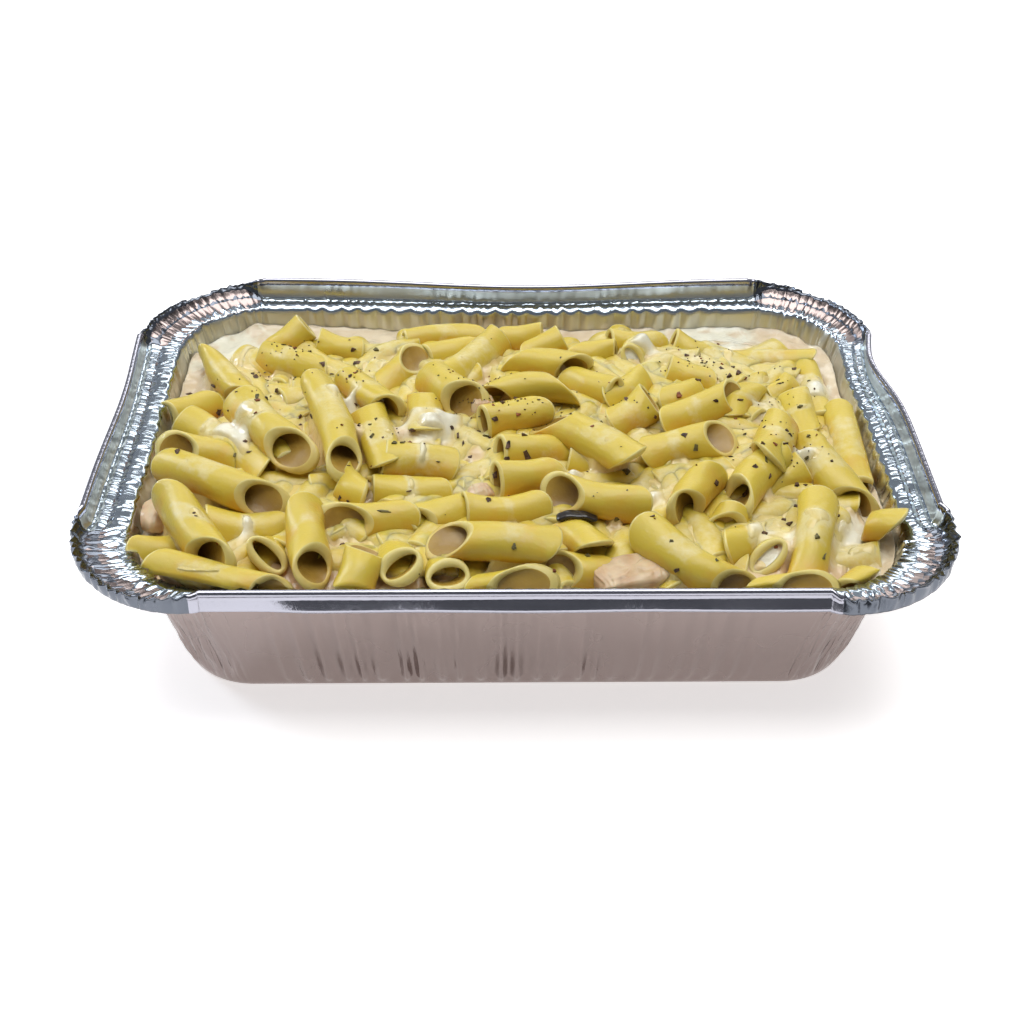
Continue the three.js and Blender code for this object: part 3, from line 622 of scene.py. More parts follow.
class TrayPattern:
    """The pressed and crimped pattern along the outline: flutes on the middle of
    the sides, sharp uneven pleats in the corners, and creases across the flange."""

    def __init__(self, path):
        self.path = path
        place = path.on(RIM_PLAN)
        self.run = np.cumsum(np.linalg.norm(place - np.roll(place, 1, 0), axis=1))
        self.turned = np.where(path.straight, 0, fade_ends(path.share, 0, CORNER_FADE))
        self.bead = mix(1, 0.2, self.turned)
        self.crumpled = mix(0.2, 5, self.turned)
        self.rise = self.turned * np.array(CORNER_RISES)[path.corner]
        self.bulge = (1 + 0.25 * ripples(place, 60, 7)) * mix(0.44, 1, ease(-62, -48, place[:, 0]))
        self.flutes = self.press_flutes()
        draw = np.random.default_rng(SEED)
        self.crimp_corners(draw)
        self.crease_flange(draw)

    def press_flutes(self):
        """Grooves along the sides, which fade towards the corners and vary a little."""
        path = self.path
        count = np.where(path.long, FLUTES[0], FLUTES[1])
        fade = fade_ends(path.share, *FLUTE_FADE)
        front = np.where(path.side_out[:, 1] < -0.5, mix(1.2, 0.6, ease(0.5, 0.75, path.share)), 1)
        strength = fade * np.where(path.long, front, SHORT_SIDE_FLUTES)
        strength *= 0.9 + 0.12 * ripples(self.run[:, None], 26, 9)
        turn = math.pi * (count * path.share + 0.14 * ripples(self.run[:, None], 17, 10))
        groove = 0.4 * np.cos(2 * turn) - np.abs(np.sin(turn)) + 0.65
        return np.where(path.straight, groove * strength.clip(0, 1.3), 0)

    def crimp_corners(self, draw):
        """Pleats of uneven width and depth, and the frills' lean and ragged edge."""
        path = self.path
        self.pleats, self.jag = (np.zeros(len(path.share)) for _ in range(2))
        self.frill = np.zeros((len(path.share), 3))
        for corner, shape in enumerate(FRILLS):
            here = path.corner == corner
            share = path.share[here]
            edges = (np.arange(PLEATS + 1) + draw.uniform(-0.45, 0.45, PLEATS + 1)) / PLEATS
            edges[0], edges[-1] = 0, 1
            fold = np.interp(share, edges, np.arange(PLEATS + 1))
            size = draw.uniform(0.45, 1.25, PLEATS + 1)[np.floor(fold).astype(int)]
            tooth = np.abs(fold % 1 - 0.5) * 2
            ends = fade_ends(share, 0, 0.06)
            self.pleats[here] = (1 - 2 * tooth ** 1.5) * size * ends
            steps = draw.uniform(-1.2, 1.2, FRILL_STEPS + 1)[(share * FRILL_STEPS).astype(int)]
            self.jag[here] = (size * (1 - tooth) + steps) * ends
            self.frill[here] = np.outer(np.sin(math.pi * share).clip(0, 1) ** 0.6, shape)

    def crease_flange(self, draw):
        """Where the creases cross the flange, and how large, wide and slanted each is."""
        self.fold_at = np.cumsum(draw.uniform(*FOLD_STEP, int(self.run[-1] / FOLD_STEP[0])))
        count = len(self.fold_at)
        self.fold_size = draw.uniform(0.35, 1, count)
        self.fold_width = draw.uniform(0.6, 1.5, count)
        self.fold_skew = draw.normal(0, 0.22, count)

    def folds(self, across):
        """Sharp creases that run out over the flange and up the rim, uneven in
        size, place and slant, from about -0.3 to 1."""
        away = self.run[:, None] - self.fold_at - self.fold_skew * (across - 5)
        ridge = (1 - np.abs(away) / self.fold_width).clip(0, 1)
        fading = 0.75 + 0.25 * np.sin(across * 0.7 + self.fold_at * 5)
        return (ridge * self.fold_size * fading).max(1) - 0.3


def flute_depth(height):
    """How deep the flutes are: deepest just over the base, and again at the flange."""
    foot = math.exp(-((height - 5) / 11) ** 2)
    return ease(HEEL_HEIGHT, 4, height) * (0.5 + foot + 0.8 * ease(33, 39, height))


def tray_row(pattern, plan, z, out=0.0, flute=0.0, pleat=0.0, top=None, dent=0.0,
             crease=0.0, across=0.0):
    """One ring of the tray: its plan moved out, with its share of each pattern.
    The top is how far up the rim it is, from 0 at the foot to 1, and the crease
    how deep the folds are, which are deeper in the corners."""
    path = pattern.path
    places = path.on(plan)
    shift = out - dent * dent_at(places) + pattern.flutes * flute * FLUTE_DEPTH / 2
    shift += pattern.pleats * pleat * PLEAT_DEPTH / 2
    height = np.zeros(len(places)) + z
    if top is None:
        along = np.column_stack([pattern.run, np.full(len(places), z * 0.3)])
        shift += WALL_WAVE * ease(0, 12, z) * ripples(along, 14, 8)
        shift += CORNER_WRINKLE * ease(0, 8, z) * pattern.turned * (creases(along, 3.2, 12) - 0.5)
    else:
        shift += mix(pattern.frill[:, 1], pattern.frill[:, 0], top)
        height -= top * (pattern.frill[:, 2] + pattern.jag * 0.45)
    fold = crease * pattern.folds(across) * mix(1, 1.7, pattern.turned)
    height += fold
    shift += fold * 0.8 * pattern.turned
    return np.column_stack([places + path.out * shift[:, None], height])


def flange_hump(share):
    """The flange's pressed profile: a rounded inner strip, a groove and a lower strip."""
    inner = np.sin(math.pi * np.clip(share / 0.5, 0, 1)) ** 0.6 * 0.8
    outer = np.sin(math.pi * np.clip((share - 0.5) / 0.34, 0, 1)) ** 0.7 * 0.6
    return inner + outer


class TraySkin:
    """The foil as rings of points, with the finish of the band that each one starts."""

    def __init__(self, pattern):
        self.pattern = pattern
        self.rows, self.finish = [], []

    def add(self, kind, **values):
        self.rows.append(tray_row(self.pattern, **values))
        self.finish.append(kind)

    def wall(self, kind, height, out, pressed, crease=0.0):
        self.add(kind, plan=wall_plan(height), z=height, out=out, flute=pressed,
                 pleat=pressed * 0.3, dent=0.5 * height / FLANGE_HEIGHT, crease=crease, across=height)

    def flange(self, kind, share, lift, crease):
        """The pressed strips of the flange, which in the corners are one slope."""
        slope = self.pattern.rise * max(0, share - RISE_FROM) / (1 - RISE_FROM)
        self.add(kind, plan=mix_plans(WALL_PLAN, RIM_PLAN, share),
                 z=FLANGE_HEIGHT + lift * mix(1, 0.25, self.pattern.turned) + slope,
                 out=-RIM_LEAN * ease(0.7, 1, share), dent=mix(0.5, 0.7, share),
                 flute=0.7 * max(0, 1 - 4 * share), pleat=mix(0.3, 0.5, share),
                 top=0, crease=crease, across=share * 11)

    def move_last(self, out, up=0.0):
        self.rows[-1][:, :2] += self.pattern.path.out * out[:, None]
        self.rows[-1][:, 2] += up

    def go_up_inside(self):
        """Up the greasy inside of the wall."""
        self.wall(FOIL_INSIDE, FOIL, -HEEL_INSET - FOIL, 0)
        self.wall(FOIL_INSIDE, HEEL_HEIGHT, -FOIL - FLUTE_ROOM, 0)
        self.wall(FOIL_INSIDE, 22, -FOIL - FLUTE_ROOM, 0)
        for height in INSIDE_HEIGHTS:
            self.wall(FOIL_INSIDE, height, -FOIL, flute_depth(height), 0.05)

    def go_over_flange(self):
        """Out over the pressed strips and into the groove at the rim's foot."""
        for share in np.linspace(0.03, 0.9, 17):
            crease = 0.5 * ease(0, 0.16, share) * ease(1, 0.8, share) + 0.04
            self.flange(FOIL_BRIGHT, share, flange_hump(share) - STRIP_DROP, crease)
        self.flange(FOIL_BRIGHT, 0.97, 0, 0.08)

    def go_over_rim(self):
        """Up the rim's inner face, over the rolled bead and down the outer face."""
        pattern = self.pattern
        foot = FLANGE_HEIGHT + pattern.rise
        for share, out in RIM_INSIDE:
            self.add(FOIL_INSIDE, plan=RIM_PLAN, z=mix(foot, BEAD_HEIGHT, share), out=out,
                     dent=mix(0.7, 1, share), pleat=mix(0.5, 1, share), top=share,
                     crease=0.08 * pattern.crumpled, across=12 + share * 3)
        for angle in np.radians(BEAD_TURNS):
            reach = BEAD_RADIUS * pattern.bead
            self.add(FOIL_SMOOTH, plan=RIM_PLAN, z=BEAD_HEIGHT, dent=1, pleat=1, top=1,
                     crease=0.05 * pattern.crumpled, across=15)
            self.move_last(reach * math.cos(angle), reach * math.sin(angle))
        for share, out in RIM_OUTSIDE:
            self.add(FOIL_SMOOTH, plan=RIM_PLAN, z=mix(FLANGE_HEIGHT - FOIL, BEAD_HEIGHT, share),
                     out=0.3, dent=mix(0.7, 1, share), pleat=mix(0.1, 0.9, share), top=share,
                     crease=0.08 * pattern.crumpled, across=20 - share * 4)
            self.move_last((out - 0.3) * pattern.bulge)

    def go_down_outside(self):
        """Under the flange, down the fluted wall and round the heel to the base."""
        for share in (0.95, 0.6, 0.3, 0):
            lift = flange_hump(share) * 0.8 - STRIP_DROP - FOIL
            self.flange(FOIL_OUTSIDE, share, lift, 0.3 * ease(0, 0.3, share))
        for height in OUTSIDE_HEIGHTS:
            self.wall(FOIL_OUTSIDE, height, 0, flute_depth(height), 0.06)
        self.add(FOIL_OUTSIDE, plan=wall_plan(1), z=0.7, out=-0.25)
        self.add(FOIL_OUTSIDE, plan=BASE_PLAN, z=0.15, out=-0.7)
        self.add(FOIL_OUTSIDE, plan=BASE_PLAN, z=0.0, out=-HEEL_INSET)

    def finish_of_quads(self, bands):
        """The finish of each quad, band by band: the corners' frills get the pleated foil, whose
        darker tint is painted shade.
        """
        around = len(self.pattern.run)
        ends = [FOIL_OUTSIDE, FOIL_OUTSIDE]
        finish = np.array((self.finish + ends)[:bands])[:, None] + np.zeros(around, int)
        frill = slice(self.finish.index(FOIL_BRIGHT) + FRILL_ROWS, self.finish.index(FOIL_OUTSIDE))
        finish[frill] = np.where(self.pattern.turned > 0.25, FOIL_PLEATED, finish[frill])
        return finish.ravel()


def build_tray(finishes):
    """The foil from the middle of its floor, up the inside, over the flange and
    the rolled bead, and down the outside, in one closed skin."""
    pattern = TrayPattern(Outline(380, 230, PLEATS * 10))
    skin = TraySkin(pattern)
    skin.go_up_inside()
    skin.go_over_flange()
    skin.go_over_rim()
    skin.go_down_outside()
    points, quads = skin_of(skin.rows)
    around = len(pattern.run)
    run = np.tile(pattern.run, len(points) // around)
    tray = add_mesh("foil_tray_pressed", points, quads, finishes,
                    skin.finish_of_quads(len(quads) // around), {"run": run})
    place_piece(tray, "foil", "foil_tray")
    return tray


# ---- Noodles -----------------------------------------------------------------------


def noodle_axes(heading, tilt, roll):
    """Along a noodle, towards the side on which its tail is cut back, and across."""
    h, t, r = (math.radians(v) for v in (heading, tilt, roll))
    along = np.array([math.cos(h) * math.cos(t), math.sin(h) * math.cos(t), math.sin(t)])
    up = np.array([0, 0, 1]) - along * along[2]
    up /= np.linalg.norm(up)
    back = up * math.cos(r) + np.cross(along, up) * math.sin(r)
    return along, back, np.cross(along, back)


def hollow_end(end, radius, depth, squash):
    """Rings out of an end's hollow and over its lip, each with its radius, how far
    along the noodle its points are, and how squashed it is."""
    bore = radius - NOODLE_WALL
    middle = mix(bore, radius, 0.5)
    sizes = [bore * 0.55] + [bore] * 4
    insets = [depth * share for share in (1.05, 1.0, 0.66, 0.33)] + [0.5]
    return [(size, end(size, inset), squash) for size, inset in zip(sizes, insets)] + [
        (bore + 0.12, end(bore, 0.12), mix(squash, 1, 0.15)),
        (middle, end(middle, -0.08), mix(squash, 1, 0.55)),
        (radius - 0.12, end(radius, 0.12), 1),
    ]


def band_finishes(plugged, near, rings):
    """The finish of each band, from the bottom of the tail's hollow to the head's."""
    tail, head = ([FULL if key in plugged else INSIDE] * 5 + [CUT] * 4 for key in "AB")
    skin = [SKIN] * (rings - 1)
    if "A" not in plugged:
        skin[:near] = [SKIN_AT_END] * near
    if "B" not in plugged:
        skin[-near:] = [SKIN_AT_END] * near
    return tail + skin + head[::-1]


def noodle_rows(noodle, draw, angle, rings):
    """Rings from the bottom of the tail's hollow, out over its lip, along the
    skin, and in over the head's lip, and the finish of each band."""
    length, width, cut_a, cut_b, plugged = noodle[6:]
    radius = width / 2
    cosine = np.cos(angle)
    slope_a, slope_b = (math.tan(math.radians(cut)) for cut in (cut_a, cut_b))
    free = length - radius * (slope_a + slope_b)
    open_depth = min(HOLLOW_DEPTH, free * (0.8 if plugged else 0.42))

    def tail(size, inset):
        return -length / 2 + slope_a * (radius + size * cosine) + inset

    def head(size, inset):
        return length / 2 - slope_b * (radius - size * cosine) - inset

    def hollow(end, key):
        depth = PLUG_DEPTH if key in plugged else open_depth
        return hollow_end(end, radius, depth, draw.uniform(*MOUTH_SQUASH))

    skin = [(radius, mix(tail(radius, 0.55), head(radius, 0.55), share), 1)
            for share in np.linspace(0, 1, rings)]
    rows = hollow(tail, "A") + skin + hollow(head, "B")[::-1]
    near = min(int(OPEN_END / max(free, 1) * rings) + 1, rings // 2 - 1)
    return rows, band_finishes(plugged, near, rings)


def boiled_form(length, draw):
    """How a noodle is bent, flattened, pinched at its ends, swollen and uneven."""
    return {
        "bend": draw.normal(0, 1.1, 2) * length / 30,
        "flat": draw.uniform(0.03, 0.1),
        "pinch": draw.uniform(0.12, 0.42, 2),
        "swell": draw.uniform(-0.25, 0.25),
        "phase": draw.uniform(0, 6, 3),
    }


def ring_offsets(row, angle, length, form):
    """How far the points of a ring are along the noodle, to its back and across."""
    size, t, squash = row
    t = np.broadcast_to(t, angle.shape)
    share = 2 * t / length
    first, second, third = form["phase"]
    wave = (0.028 * np.sin(2 * angle + first + t * 0.18)
            + 0.018 * np.sin(3 * angle + second - t * 0.3))
    reach = size * (1 + wave + 0.02 * np.sin(t * 0.35 + third) + 0.03 * np.abs(share) ** 4
                    + form["swell"] * 0.03 * share)
    bow = share ** 2 - 0.33
    press = form["pinch"][0] * ease(0.1, -1, share) + form["pinch"][1] * ease(-0.1, 1, share)
    return (t, reach * np.cos(angle) * (1 - press) * squash + bow * form["bend"][0],
            reach * np.sin(angle) * (1 + press * 0.45) + bow * form["bend"][1])


def build_noodle(noodle, draw, grid):
    """A tube with slanted ends, a little bent, flattened and uneven, as boiled
    pasta is. Gives its points, faces, finishes, and how dark each point is
    painted: darker underneath as painted shade, paler near the ends, and a
    little darker or lighter for each noodle."""
    x, y, z, heading, tilt, roll, length, width = noodle[:8]
    around, rings = grid
    angle = np.linspace(0, 2 * math.pi, around, endpoint=False)
    axes = noodle_axes(heading, tilt, roll)
    along = axes[0]
    ordered, kinds = noodle_rows(noodle, draw, angle, rings)
    form = boiled_form(length, draw)
    middle = np.array([x, y, z], float)
    rows = []
    for row in ordered:
        offsets = ring_offsets(row, angle, length, form)
        ring = middle + sum(np.outer(offset, axis) for offset, axis in zip(offsets, axes))
        ring[:, 2] = z + (ring[:, 2] - z) * (1 - form["flat"] * (1 - abs(along[2])))
        rows.append(ring)
    points, quads = skin_of(rows)
    # Painted shade: points under the noodle's middle are coloured darker, as if in shadow; the random
    # step is each noodle's own colour.
    shade = UNDERSIDE_SHADE * (middle[2] - points[:, 2]) / (width / 2) + draw.uniform(-0.1, 0.1)
    shade -= LIP_PALENESS * ease(0.65, 1, np.abs((points - middle) @ along) / (length / 2))
    return points, quads, np.repeat(kinds, around), shade


def build_noodles(noodles, draw, grid=SHOWN_GRID):
    made = [build_noodle(noodle, draw, grid) for noodle in noodles]
    return [(kept_inside(points), *rest) for points, *rest in made]


def joined(parts):
    """The points, faces, finishes and painted shade and paleness of many noodles as one."""
    starts = np.cumsum([0] + [len(part[0]) for part in parts[:-1]])
    quads = [part[1] + start for part, start in zip(parts, starts)]
    points, kinds, painted_shade_and_tone = (np.concatenate([part[i] for part in parts]) for i in (0, 2, 3))
    return points, np.concatenate(quads), kinds, painted_shade_and_tone


# ---- The height of the heap, on a grid over the tray -------------------------------

CELL = 0.5
GRID_X = np.arange(-102, 106, CELL)
GRID_Y = np.arange(-74, 70, CELL)
HIGH_ABOVE = 80  # well over all the food
PLACES = np.stack(np.meshgrid(GRID_X, GRID_Y, indexing="ij"), -1)


def on_grid(pattern, size, seed):
    """A pattern, such as ripples, at every place of the grid."""
    return pattern(PLACES.reshape(-1, 2), size, seed).reshape(PLACES.shape[:2])


def blur(field, reach):
    """Spreads a field on the grid over a reach in mm."""
    steps = int(3 * reach / CELL)
    weights = np.exp(-0.5 * (np.arange(-steps, steps + 1) * CELL / reach) ** 2)
    weights /= weights.sum()
    for axis in (0, 1):
        margins = [(steps, steps) if way == axis else (0, 0) for way in (0, 1)]
        padded = np.pad(field, margins, mode="edge")
        total = np.zeros_like(field)
        for i, weight in enumerate(weights):
            cut = [slice(None), slice(None)]
            cut[axis] = slice(i, i + field.shape[axis])
            total += weight * padded[tuple(cut)]
        field = total
    return field


def read_grid(field, places):
    """The field at places in plan, between the grid's own points."""
    u = np.clip((places[:, 0] - GRID_X[0]) / CELL, 0, len(GRID_X) - 1.001)
    v = np.clip((places[:, 1] - GRID_Y[0]) / CELL, 0, len(GRID_Y) - 1.001)
    i, j = u.astype(int), v.astype(int)
    p, q = u - i, v - j
    return ((1 - p) * (1 - q) * field[i, j] + p * (1 - q) * field[i + 1, j]
            + (1 - p) * q * field[i, j + 1] + p * q * field[i + 1, j + 1])


def roll_ball(field, radius, way):
    """Where the middle of a ball comes that is rolled over the field, or with way
    -1 where the skin is that a ball leaves when its middle follows the field."""
    steps = int(radius / CELL)
    wide, deep = field.shape
    padded = np.pad(way * field, steps, mode="edge")
    best = np.full(field.shape, -np.inf)
    for i in range(-steps, steps + 1):
        for j in range(-steps, steps + 1):
            rise = radius ** 2 - (i * i + j * j) * CELL ** 2
            if rise >= 0:
                moved = padded[steps + i:steps + i + wide, steps + j:steps + j + deep]
                best = np.maximum(best, moved + math.sqrt(rise))
    return way * best


def drop_ray(tree, x, y):
    """What a ray from high above meets at a place in plan."""
    return tree.ray_cast(Vector((x, y, HIGH_ABOVE)), Vector((0, 0, -1)))


def look_down(parts):
    """Looks down on the noodles all over the grid: how high their skins are, or 0
    where none is, and how high sauce may stand at their open ends."""
    points, quads, kinds, _ = joined(parts)
    tree = BVHTree.FromPolygons(points.tolist(), quads.tolist())
    top = np.zeros(PLACES.shape[:2])
    mouths = np.full(PLACES.shape[:2], np.inf)
    for i, x in enumerate(GRID_X):
        for j, y in enumerate(GRID_Y):
            at, _, face, _ = drop_ray(tree, x, y)
            if at is None:
                continue
            if kinds[face] in SAUCE_UNDER:
                mouths[i, j] = at.z - SAUCE_UNDER[kinds[face]]
            else:
                top[i, j] = at.z
    return top, mouths


def pool_at(places):
    width = np.zeros(len(places))
    for x, y, wide, reach in POOLS:
        width += wide * np.exp(-((places[:, 0] - x) ** 2 + (places[:, 1] - y) ** 2) / reach ** 2)
    return width


def cream_map():
    """How thick the cream lies over each place, from 0 to about 1.5."""
    cream = np.zeros(PLACES.shape[:2])
    for x, y, reach, thick in CREAM_PATCHES:
        away = ((PLACES[..., 0] - x) ** 2 + (PLACES[..., 1] - y) ** 2) / reach ** 2
        cream += thick * np.exp(-away * 1.6)
    return cream * (0.75 + 0.5 * on_grid(ripples, 9, 41)).clip(0, 2)


def food_ring(path, plan, inset, dent):
    places = path.on(plan)
    return places - path.out * (inset + dent * dent_at(places))[:, None]


def band_inset(places):
    return np.minimum(FOOD_ROOM + SAUCE_BAND + pool_at(places), BAND_LIMIT)


def core_height(path):
    """The smooth height of the heap's core and of the sauce round it."""
    level = wall_plan(SAUCE_LEVEL)
    shoulder = food_ring(path, level, band_inset(path.on(level)), 0.5)
    turn = np.arctan2(*(shoulder - HEAP_MIDDLE).T[::-1])
    reach = np.linalg.norm(shoulder - HEAP_MIDDLE, axis=1)
    order = np.argsort(turn)
    away = PLACES - HEAP_MIDDLE
    facing = np.arctan2(away[..., 1], away[..., 0])
    edge = np.interp(facing, turn[order], reach[order], period=2 * math.pi)
    share = np.linalg.norm(away, axis=-1) / edge
    sauce = SAUCE_LEVEL + 0.45 * on_grid(ripples, 38, 51)
    core = mix(CORE_MIDDLE, CORE_EDGE, np.minimum(share, 1) ** 2.5)
    return np.where(share < 1, core, sauce)


def sauce_surface(tops, mouths, base, cream):
    """The sauce's skin: level in the pools, lying round in the gaps between the
    noodles just under their skins, and over them where cream was poured last."""
    under = np.maximum(roll_ball(tops, SKIN_DEPTH, -1), blur(base, 2))
    filled = roll_ball(roll_ball(under, SAUCE_ROUND, 1), SAUCE_ROUND, -1)
    relief = 0.3 * on_grid(ripples, 7, 52) + 0.1 * on_grid(ripples, 2.8, 53)
    swirls = 0.3 * on_grid(creases, 5, 54) * ease(-0.2, 0.3, on_grid(ripples, 22, 55))
    over = ease(0, 3, tops - base)
    skin = filled + (relief + swirls) + over * (CREAM_LIFT * cream.clip(0, 1.3) + SAUCE_RISE)
    return blur(np.minimum(skin, mouths), 0.5)


def pasta_film(tops, surface):
    """How much pasta shows through the sauce over it, from 0 to 1."""
    return blur(ease(1.1, 0.1, surface - tops), 0.6)


def sunk_noodles(tops, base):
    """More noodles of the same heap, almost sunk in the sauce between the ones on
    top: on a loose grid, wherever nothing else lies."""
    draw = np.random.default_rng(SEED + 1)
    covered = blur((tops > base).astype(float), 3)
    found = []
    for x, y in itertools.product(np.arange(*SUNK_X), np.arange(*SUNK_Y)):
        place = np.array([[x, y]]) + draw.uniform(-3, 3, (1, 2))
        heading, tilt, roll = draw.uniform(0, 360), draw.uniform(-3, 3), draw.uniform(-60, 60)
        length, width = draw.uniform(*SUNK_LENGTH), draw.uniform(*SUNK_WIDTH)
        outside = (np.abs(place[0] - FIELD_MIDDLE) >= SUNK_FIELD).any()
        taken = read_grid(covered, place)[0] > MOST_COVERED or pool_at(place)[0] > WIDEST_POOL
        if outside or taken:
            continue
        z = read_grid(base, place)[0] + SUNK_TOP - width / 2 + draw.uniform(-0.8, 1.0)
        found.append((*place[0], z, heading, tilt, roll, length, width, 15, 15, "AB"))
    return found


def in_thirds(parts):
    """Three lists of about the same length, so that no piece gets too large."""
    ends = [len(parts) * third // 3 for third in range(4)]
    return [parts[start:end] for start, end in zip(ends, ends[1:])]


def kept_inside(points):
    """Presses the points that would be through the tray's wall back inside it."""
    share = points[:, 2].clip(0, RIM_HEIGHT) / FLANGE_HEIGHT
    size = {key: mix(BASE_PLAN[key], WALL_PLAN[key], share) for key in WALL_PLAN}
    middle = np.column_stack([size["x"], size["y"]])
    straight = np.column_stack([size[key] - size["corner"] for key in ("half_length", "half_width")])
    away = points[:, :2] - middle
    over = np.sign(away) * np.maximum(np.abs(away) - straight, 0)
    far = np.linalg.norm(over, axis=1)
    room = size["corner"] - FOOD_ROOM - mix(FLUTE_ROOM, 0.6, share) - dent_at(points[:, :2]) / 2
    excess = np.where(points[:, 2] < FLANGE_HEIGHT + 1, np.maximum(far - room, 0), 0)
    kept = points.copy()
    kept[:, :2] -= over / np.maximum(far, 1e-6)[:, None] * excess[:, None]
    return kept


def level_ring(places, height):
    return np.column_stack([places, np.full(len(places), height)])


def add_sauce(name, rows, closed, thickness, finish, node):
    """A piece of sauce through rings, with how much cream and pasta it shows."""
    points, quads = skin_of(rows, closed)
    shown = {key: read_grid(field, points[:, :2]) for key, field in thickness.items()}
    piece = add_mesh(name, points, quads, [finish], attributes=shown)
    place_piece(piece, "sauce", node)
    return piece


def build_core(surface, thickness, finish):
    """The heap's core, under the noodles that show: its top is the sauce's skin."""
    path = Outline(150, 100, 40)
    level, low = wall_plan(SAUCE_LEVEL), wall_plan(HEEL_HEIGHT)
    edge = food_ring(path, level, band_inset(path.on(level)), 0.5)
    foot = food_ring(path, low, HEEL_INSET + band_inset(path.on(low)), 0)
    rows = [level_ring(foot, FLOOR)]
    for share in np.linspace(1, 0.01, 130):
        places = HEAP_MIDDLE + (edge - HEAP_MIDDLE) * share
        rows.append(np.column_stack([places, read_grid(surface, places)]))
    return add_sauce("sauce_in_the_heap", rows, False, thickness, finish, "penne_heap")


def build_sauce_ring(surface, thickness, finish):
    """The sauce between the heap and the wall, which creeps up the foil."""
    path = Outline(150, 100, 40)
    level, upper, heel = (wall_plan(height) for height in (SAUCE_LEVEL, UPPER_WALL, HEEL_HEIGHT))
    inset = band_inset(path.on(level))
    rows = [
        level_ring(food_ring(path, heel, HEEL_INSET + FOOD_ROOM, 0), FLOOR),
        level_ring(food_ring(path, heel, FOOD_ROOM + FLUTE_ROOM, 0.1), HEEL_HEIGHT),
        level_ring(food_ring(path, upper, FOOD_ROOM + FLUTE_ROOM / 2, 0.3), UPPER_WALL),
    ]
    side = food_ring(path, wall_plan(SAUCE_LEVEL + 1), FOOD_ROOM - 0.3, 0.5)
    edge = food_ring(path, level, inset, 0.5)
    span = np.linalg.norm(edge - side, axis=1)
    creep = 0.9 + 0.5 * ripples(side, 13, 61)
    for share in np.linspace(0, 1, 16) ** 1.4:
        places = mix(side, edge, share)
        rise = creep.clip(0.2, 2) * np.exp(-share * span / 1.3)
        rows.append(np.column_stack([places, read_grid(surface, places) + rise]))
    rows.append(level_ring(food_ring(path, heel, HEEL_INSET + inset, 0), FLOOR))
    return add_sauce("sauce_round_the_heap", rows, True, thickness, finish, "cream_sauce")


def build_penne(regions, surface, cream, finishes):
    """The noodles, joined into one mesh for each region of the tray."""
    pieces = []
    finishes = [*finishes, finishes[SKIN]]
    for name, parts in regions.items():
        points, quads, kinds, painted_shade_and_tone = joined(parts)
        over = points[:, 2] - read_grid(surface, points[:, :2])
        wet = read_grid(cream, points[:, :2]) * 0.45 + 0.6 * (1 - ease(0.0, 1.8, over))
        # The first attribute is painted shade, darker under each noodle and paler at its ends; the
        # second is the cream film on it.
        piece = add_mesh(name, points, quads, finishes, kinds, {"painted_shade_and_tone": painted_shade_and_tone, "cream": wet})
        place_piece(piece, "penne", "penne_heap")
        pieces.append(piece)
    return pieces


# ---- Chicken and olive -------------------------------------------------------------


def squared_ball(around, up, square):
    """The points of a ball's rings, with the ball squared up by a power."""
    turn = np.linspace(0, 2 * math.pi, around, endpoint=False)
    rows = []
    for lift in np.linspace(-math.pi / 2, math.pi / 2, up + 2)[1:-1]:
        unit = np.column_stack([math.cos(lift) * np.cos(turn), math.cos(lift) * np.sin(turn),
                                np.full(around, math.sin(lift))])
        rows.append(np.sign(unit) * np.abs(unit) ** square)
    return np.concatenate(rows)


def build_chicken(name, at, size, heading, square, finish, seed):
    """A torn lump, more or less square, ribbed with fibres across it."""
    around, up = 72, 44
    points = squared_ball(around, up, square) * np.array(size) / 2
    lumps = (1 + 0.05 * ripples(points, min(size) * 0.9, seed)
             + 0.03 * ripples(points, 2.4, seed + 1))
    ribs = 0.014 * np.sin(points[:, 0] * 2 * math.pi / 1.15 + 1.2 * ripples(points, 5, seed + 2))
    points = points * (lumps + ribs)[:, None]
    turn = math.radians(heading)
    cosine, sine = math.cos(turn), math.sin(turn)
    spin = np.array([[cosine, -sine, 0], [sine, cosine, 0], [0, 0, 1]])
    points = kept_inside(points @ spin.T + np.array(at))
    skin, quads = skin_of(points.reshape(up, around, 3))
    bit = add_mesh(name + "_flesh", skin, quads, [finish])
    place_piece(bit, "chicken", name)
    return bit


def build_olive(finish):
    """A half ring of olive standing in the sauce, with rounded edges."""
    rows = []
    for angle in np.radians(np.linspace(*OLIVE_ARC, 40)):
        turn = np.linspace(0, 2 * math.pi, 24, endpoint=False)
        side = np.sign(np.cos(turn)) * np.abs(np.cos(turn)) ** 0.6
        face = np.sign(np.sin(turn)) * np.abs(np.sin(turn)) ** 0.6
        uneven = 0.3 * math.sin(3.1 * angle + 0.6) + 0.2 * math.sin(7.3 * angle)
        reach = OLIVE_RADIUS - OLIVE_WALL / 2 + side * OLIVE_WALL / 2 + uneven
        rows.append(np.column_stack([
            OLIVE_AT[0] + reach * math.cos(angle),
            OLIVE_AT[1] + face * OLIVE_THICKNESS / 2,
            OLIVE_AT[2] + reach * math.sin(angle) * 0.45,
        ]))
    points, quads = skin_of(rows)
    olive = add_mesh("olive_slice_flesh", points, quads, [finish])
    place_piece(olive, "olive", "olive_slice")
    return olive


# ---- Herbs and pepper --------------------------------------------------------------

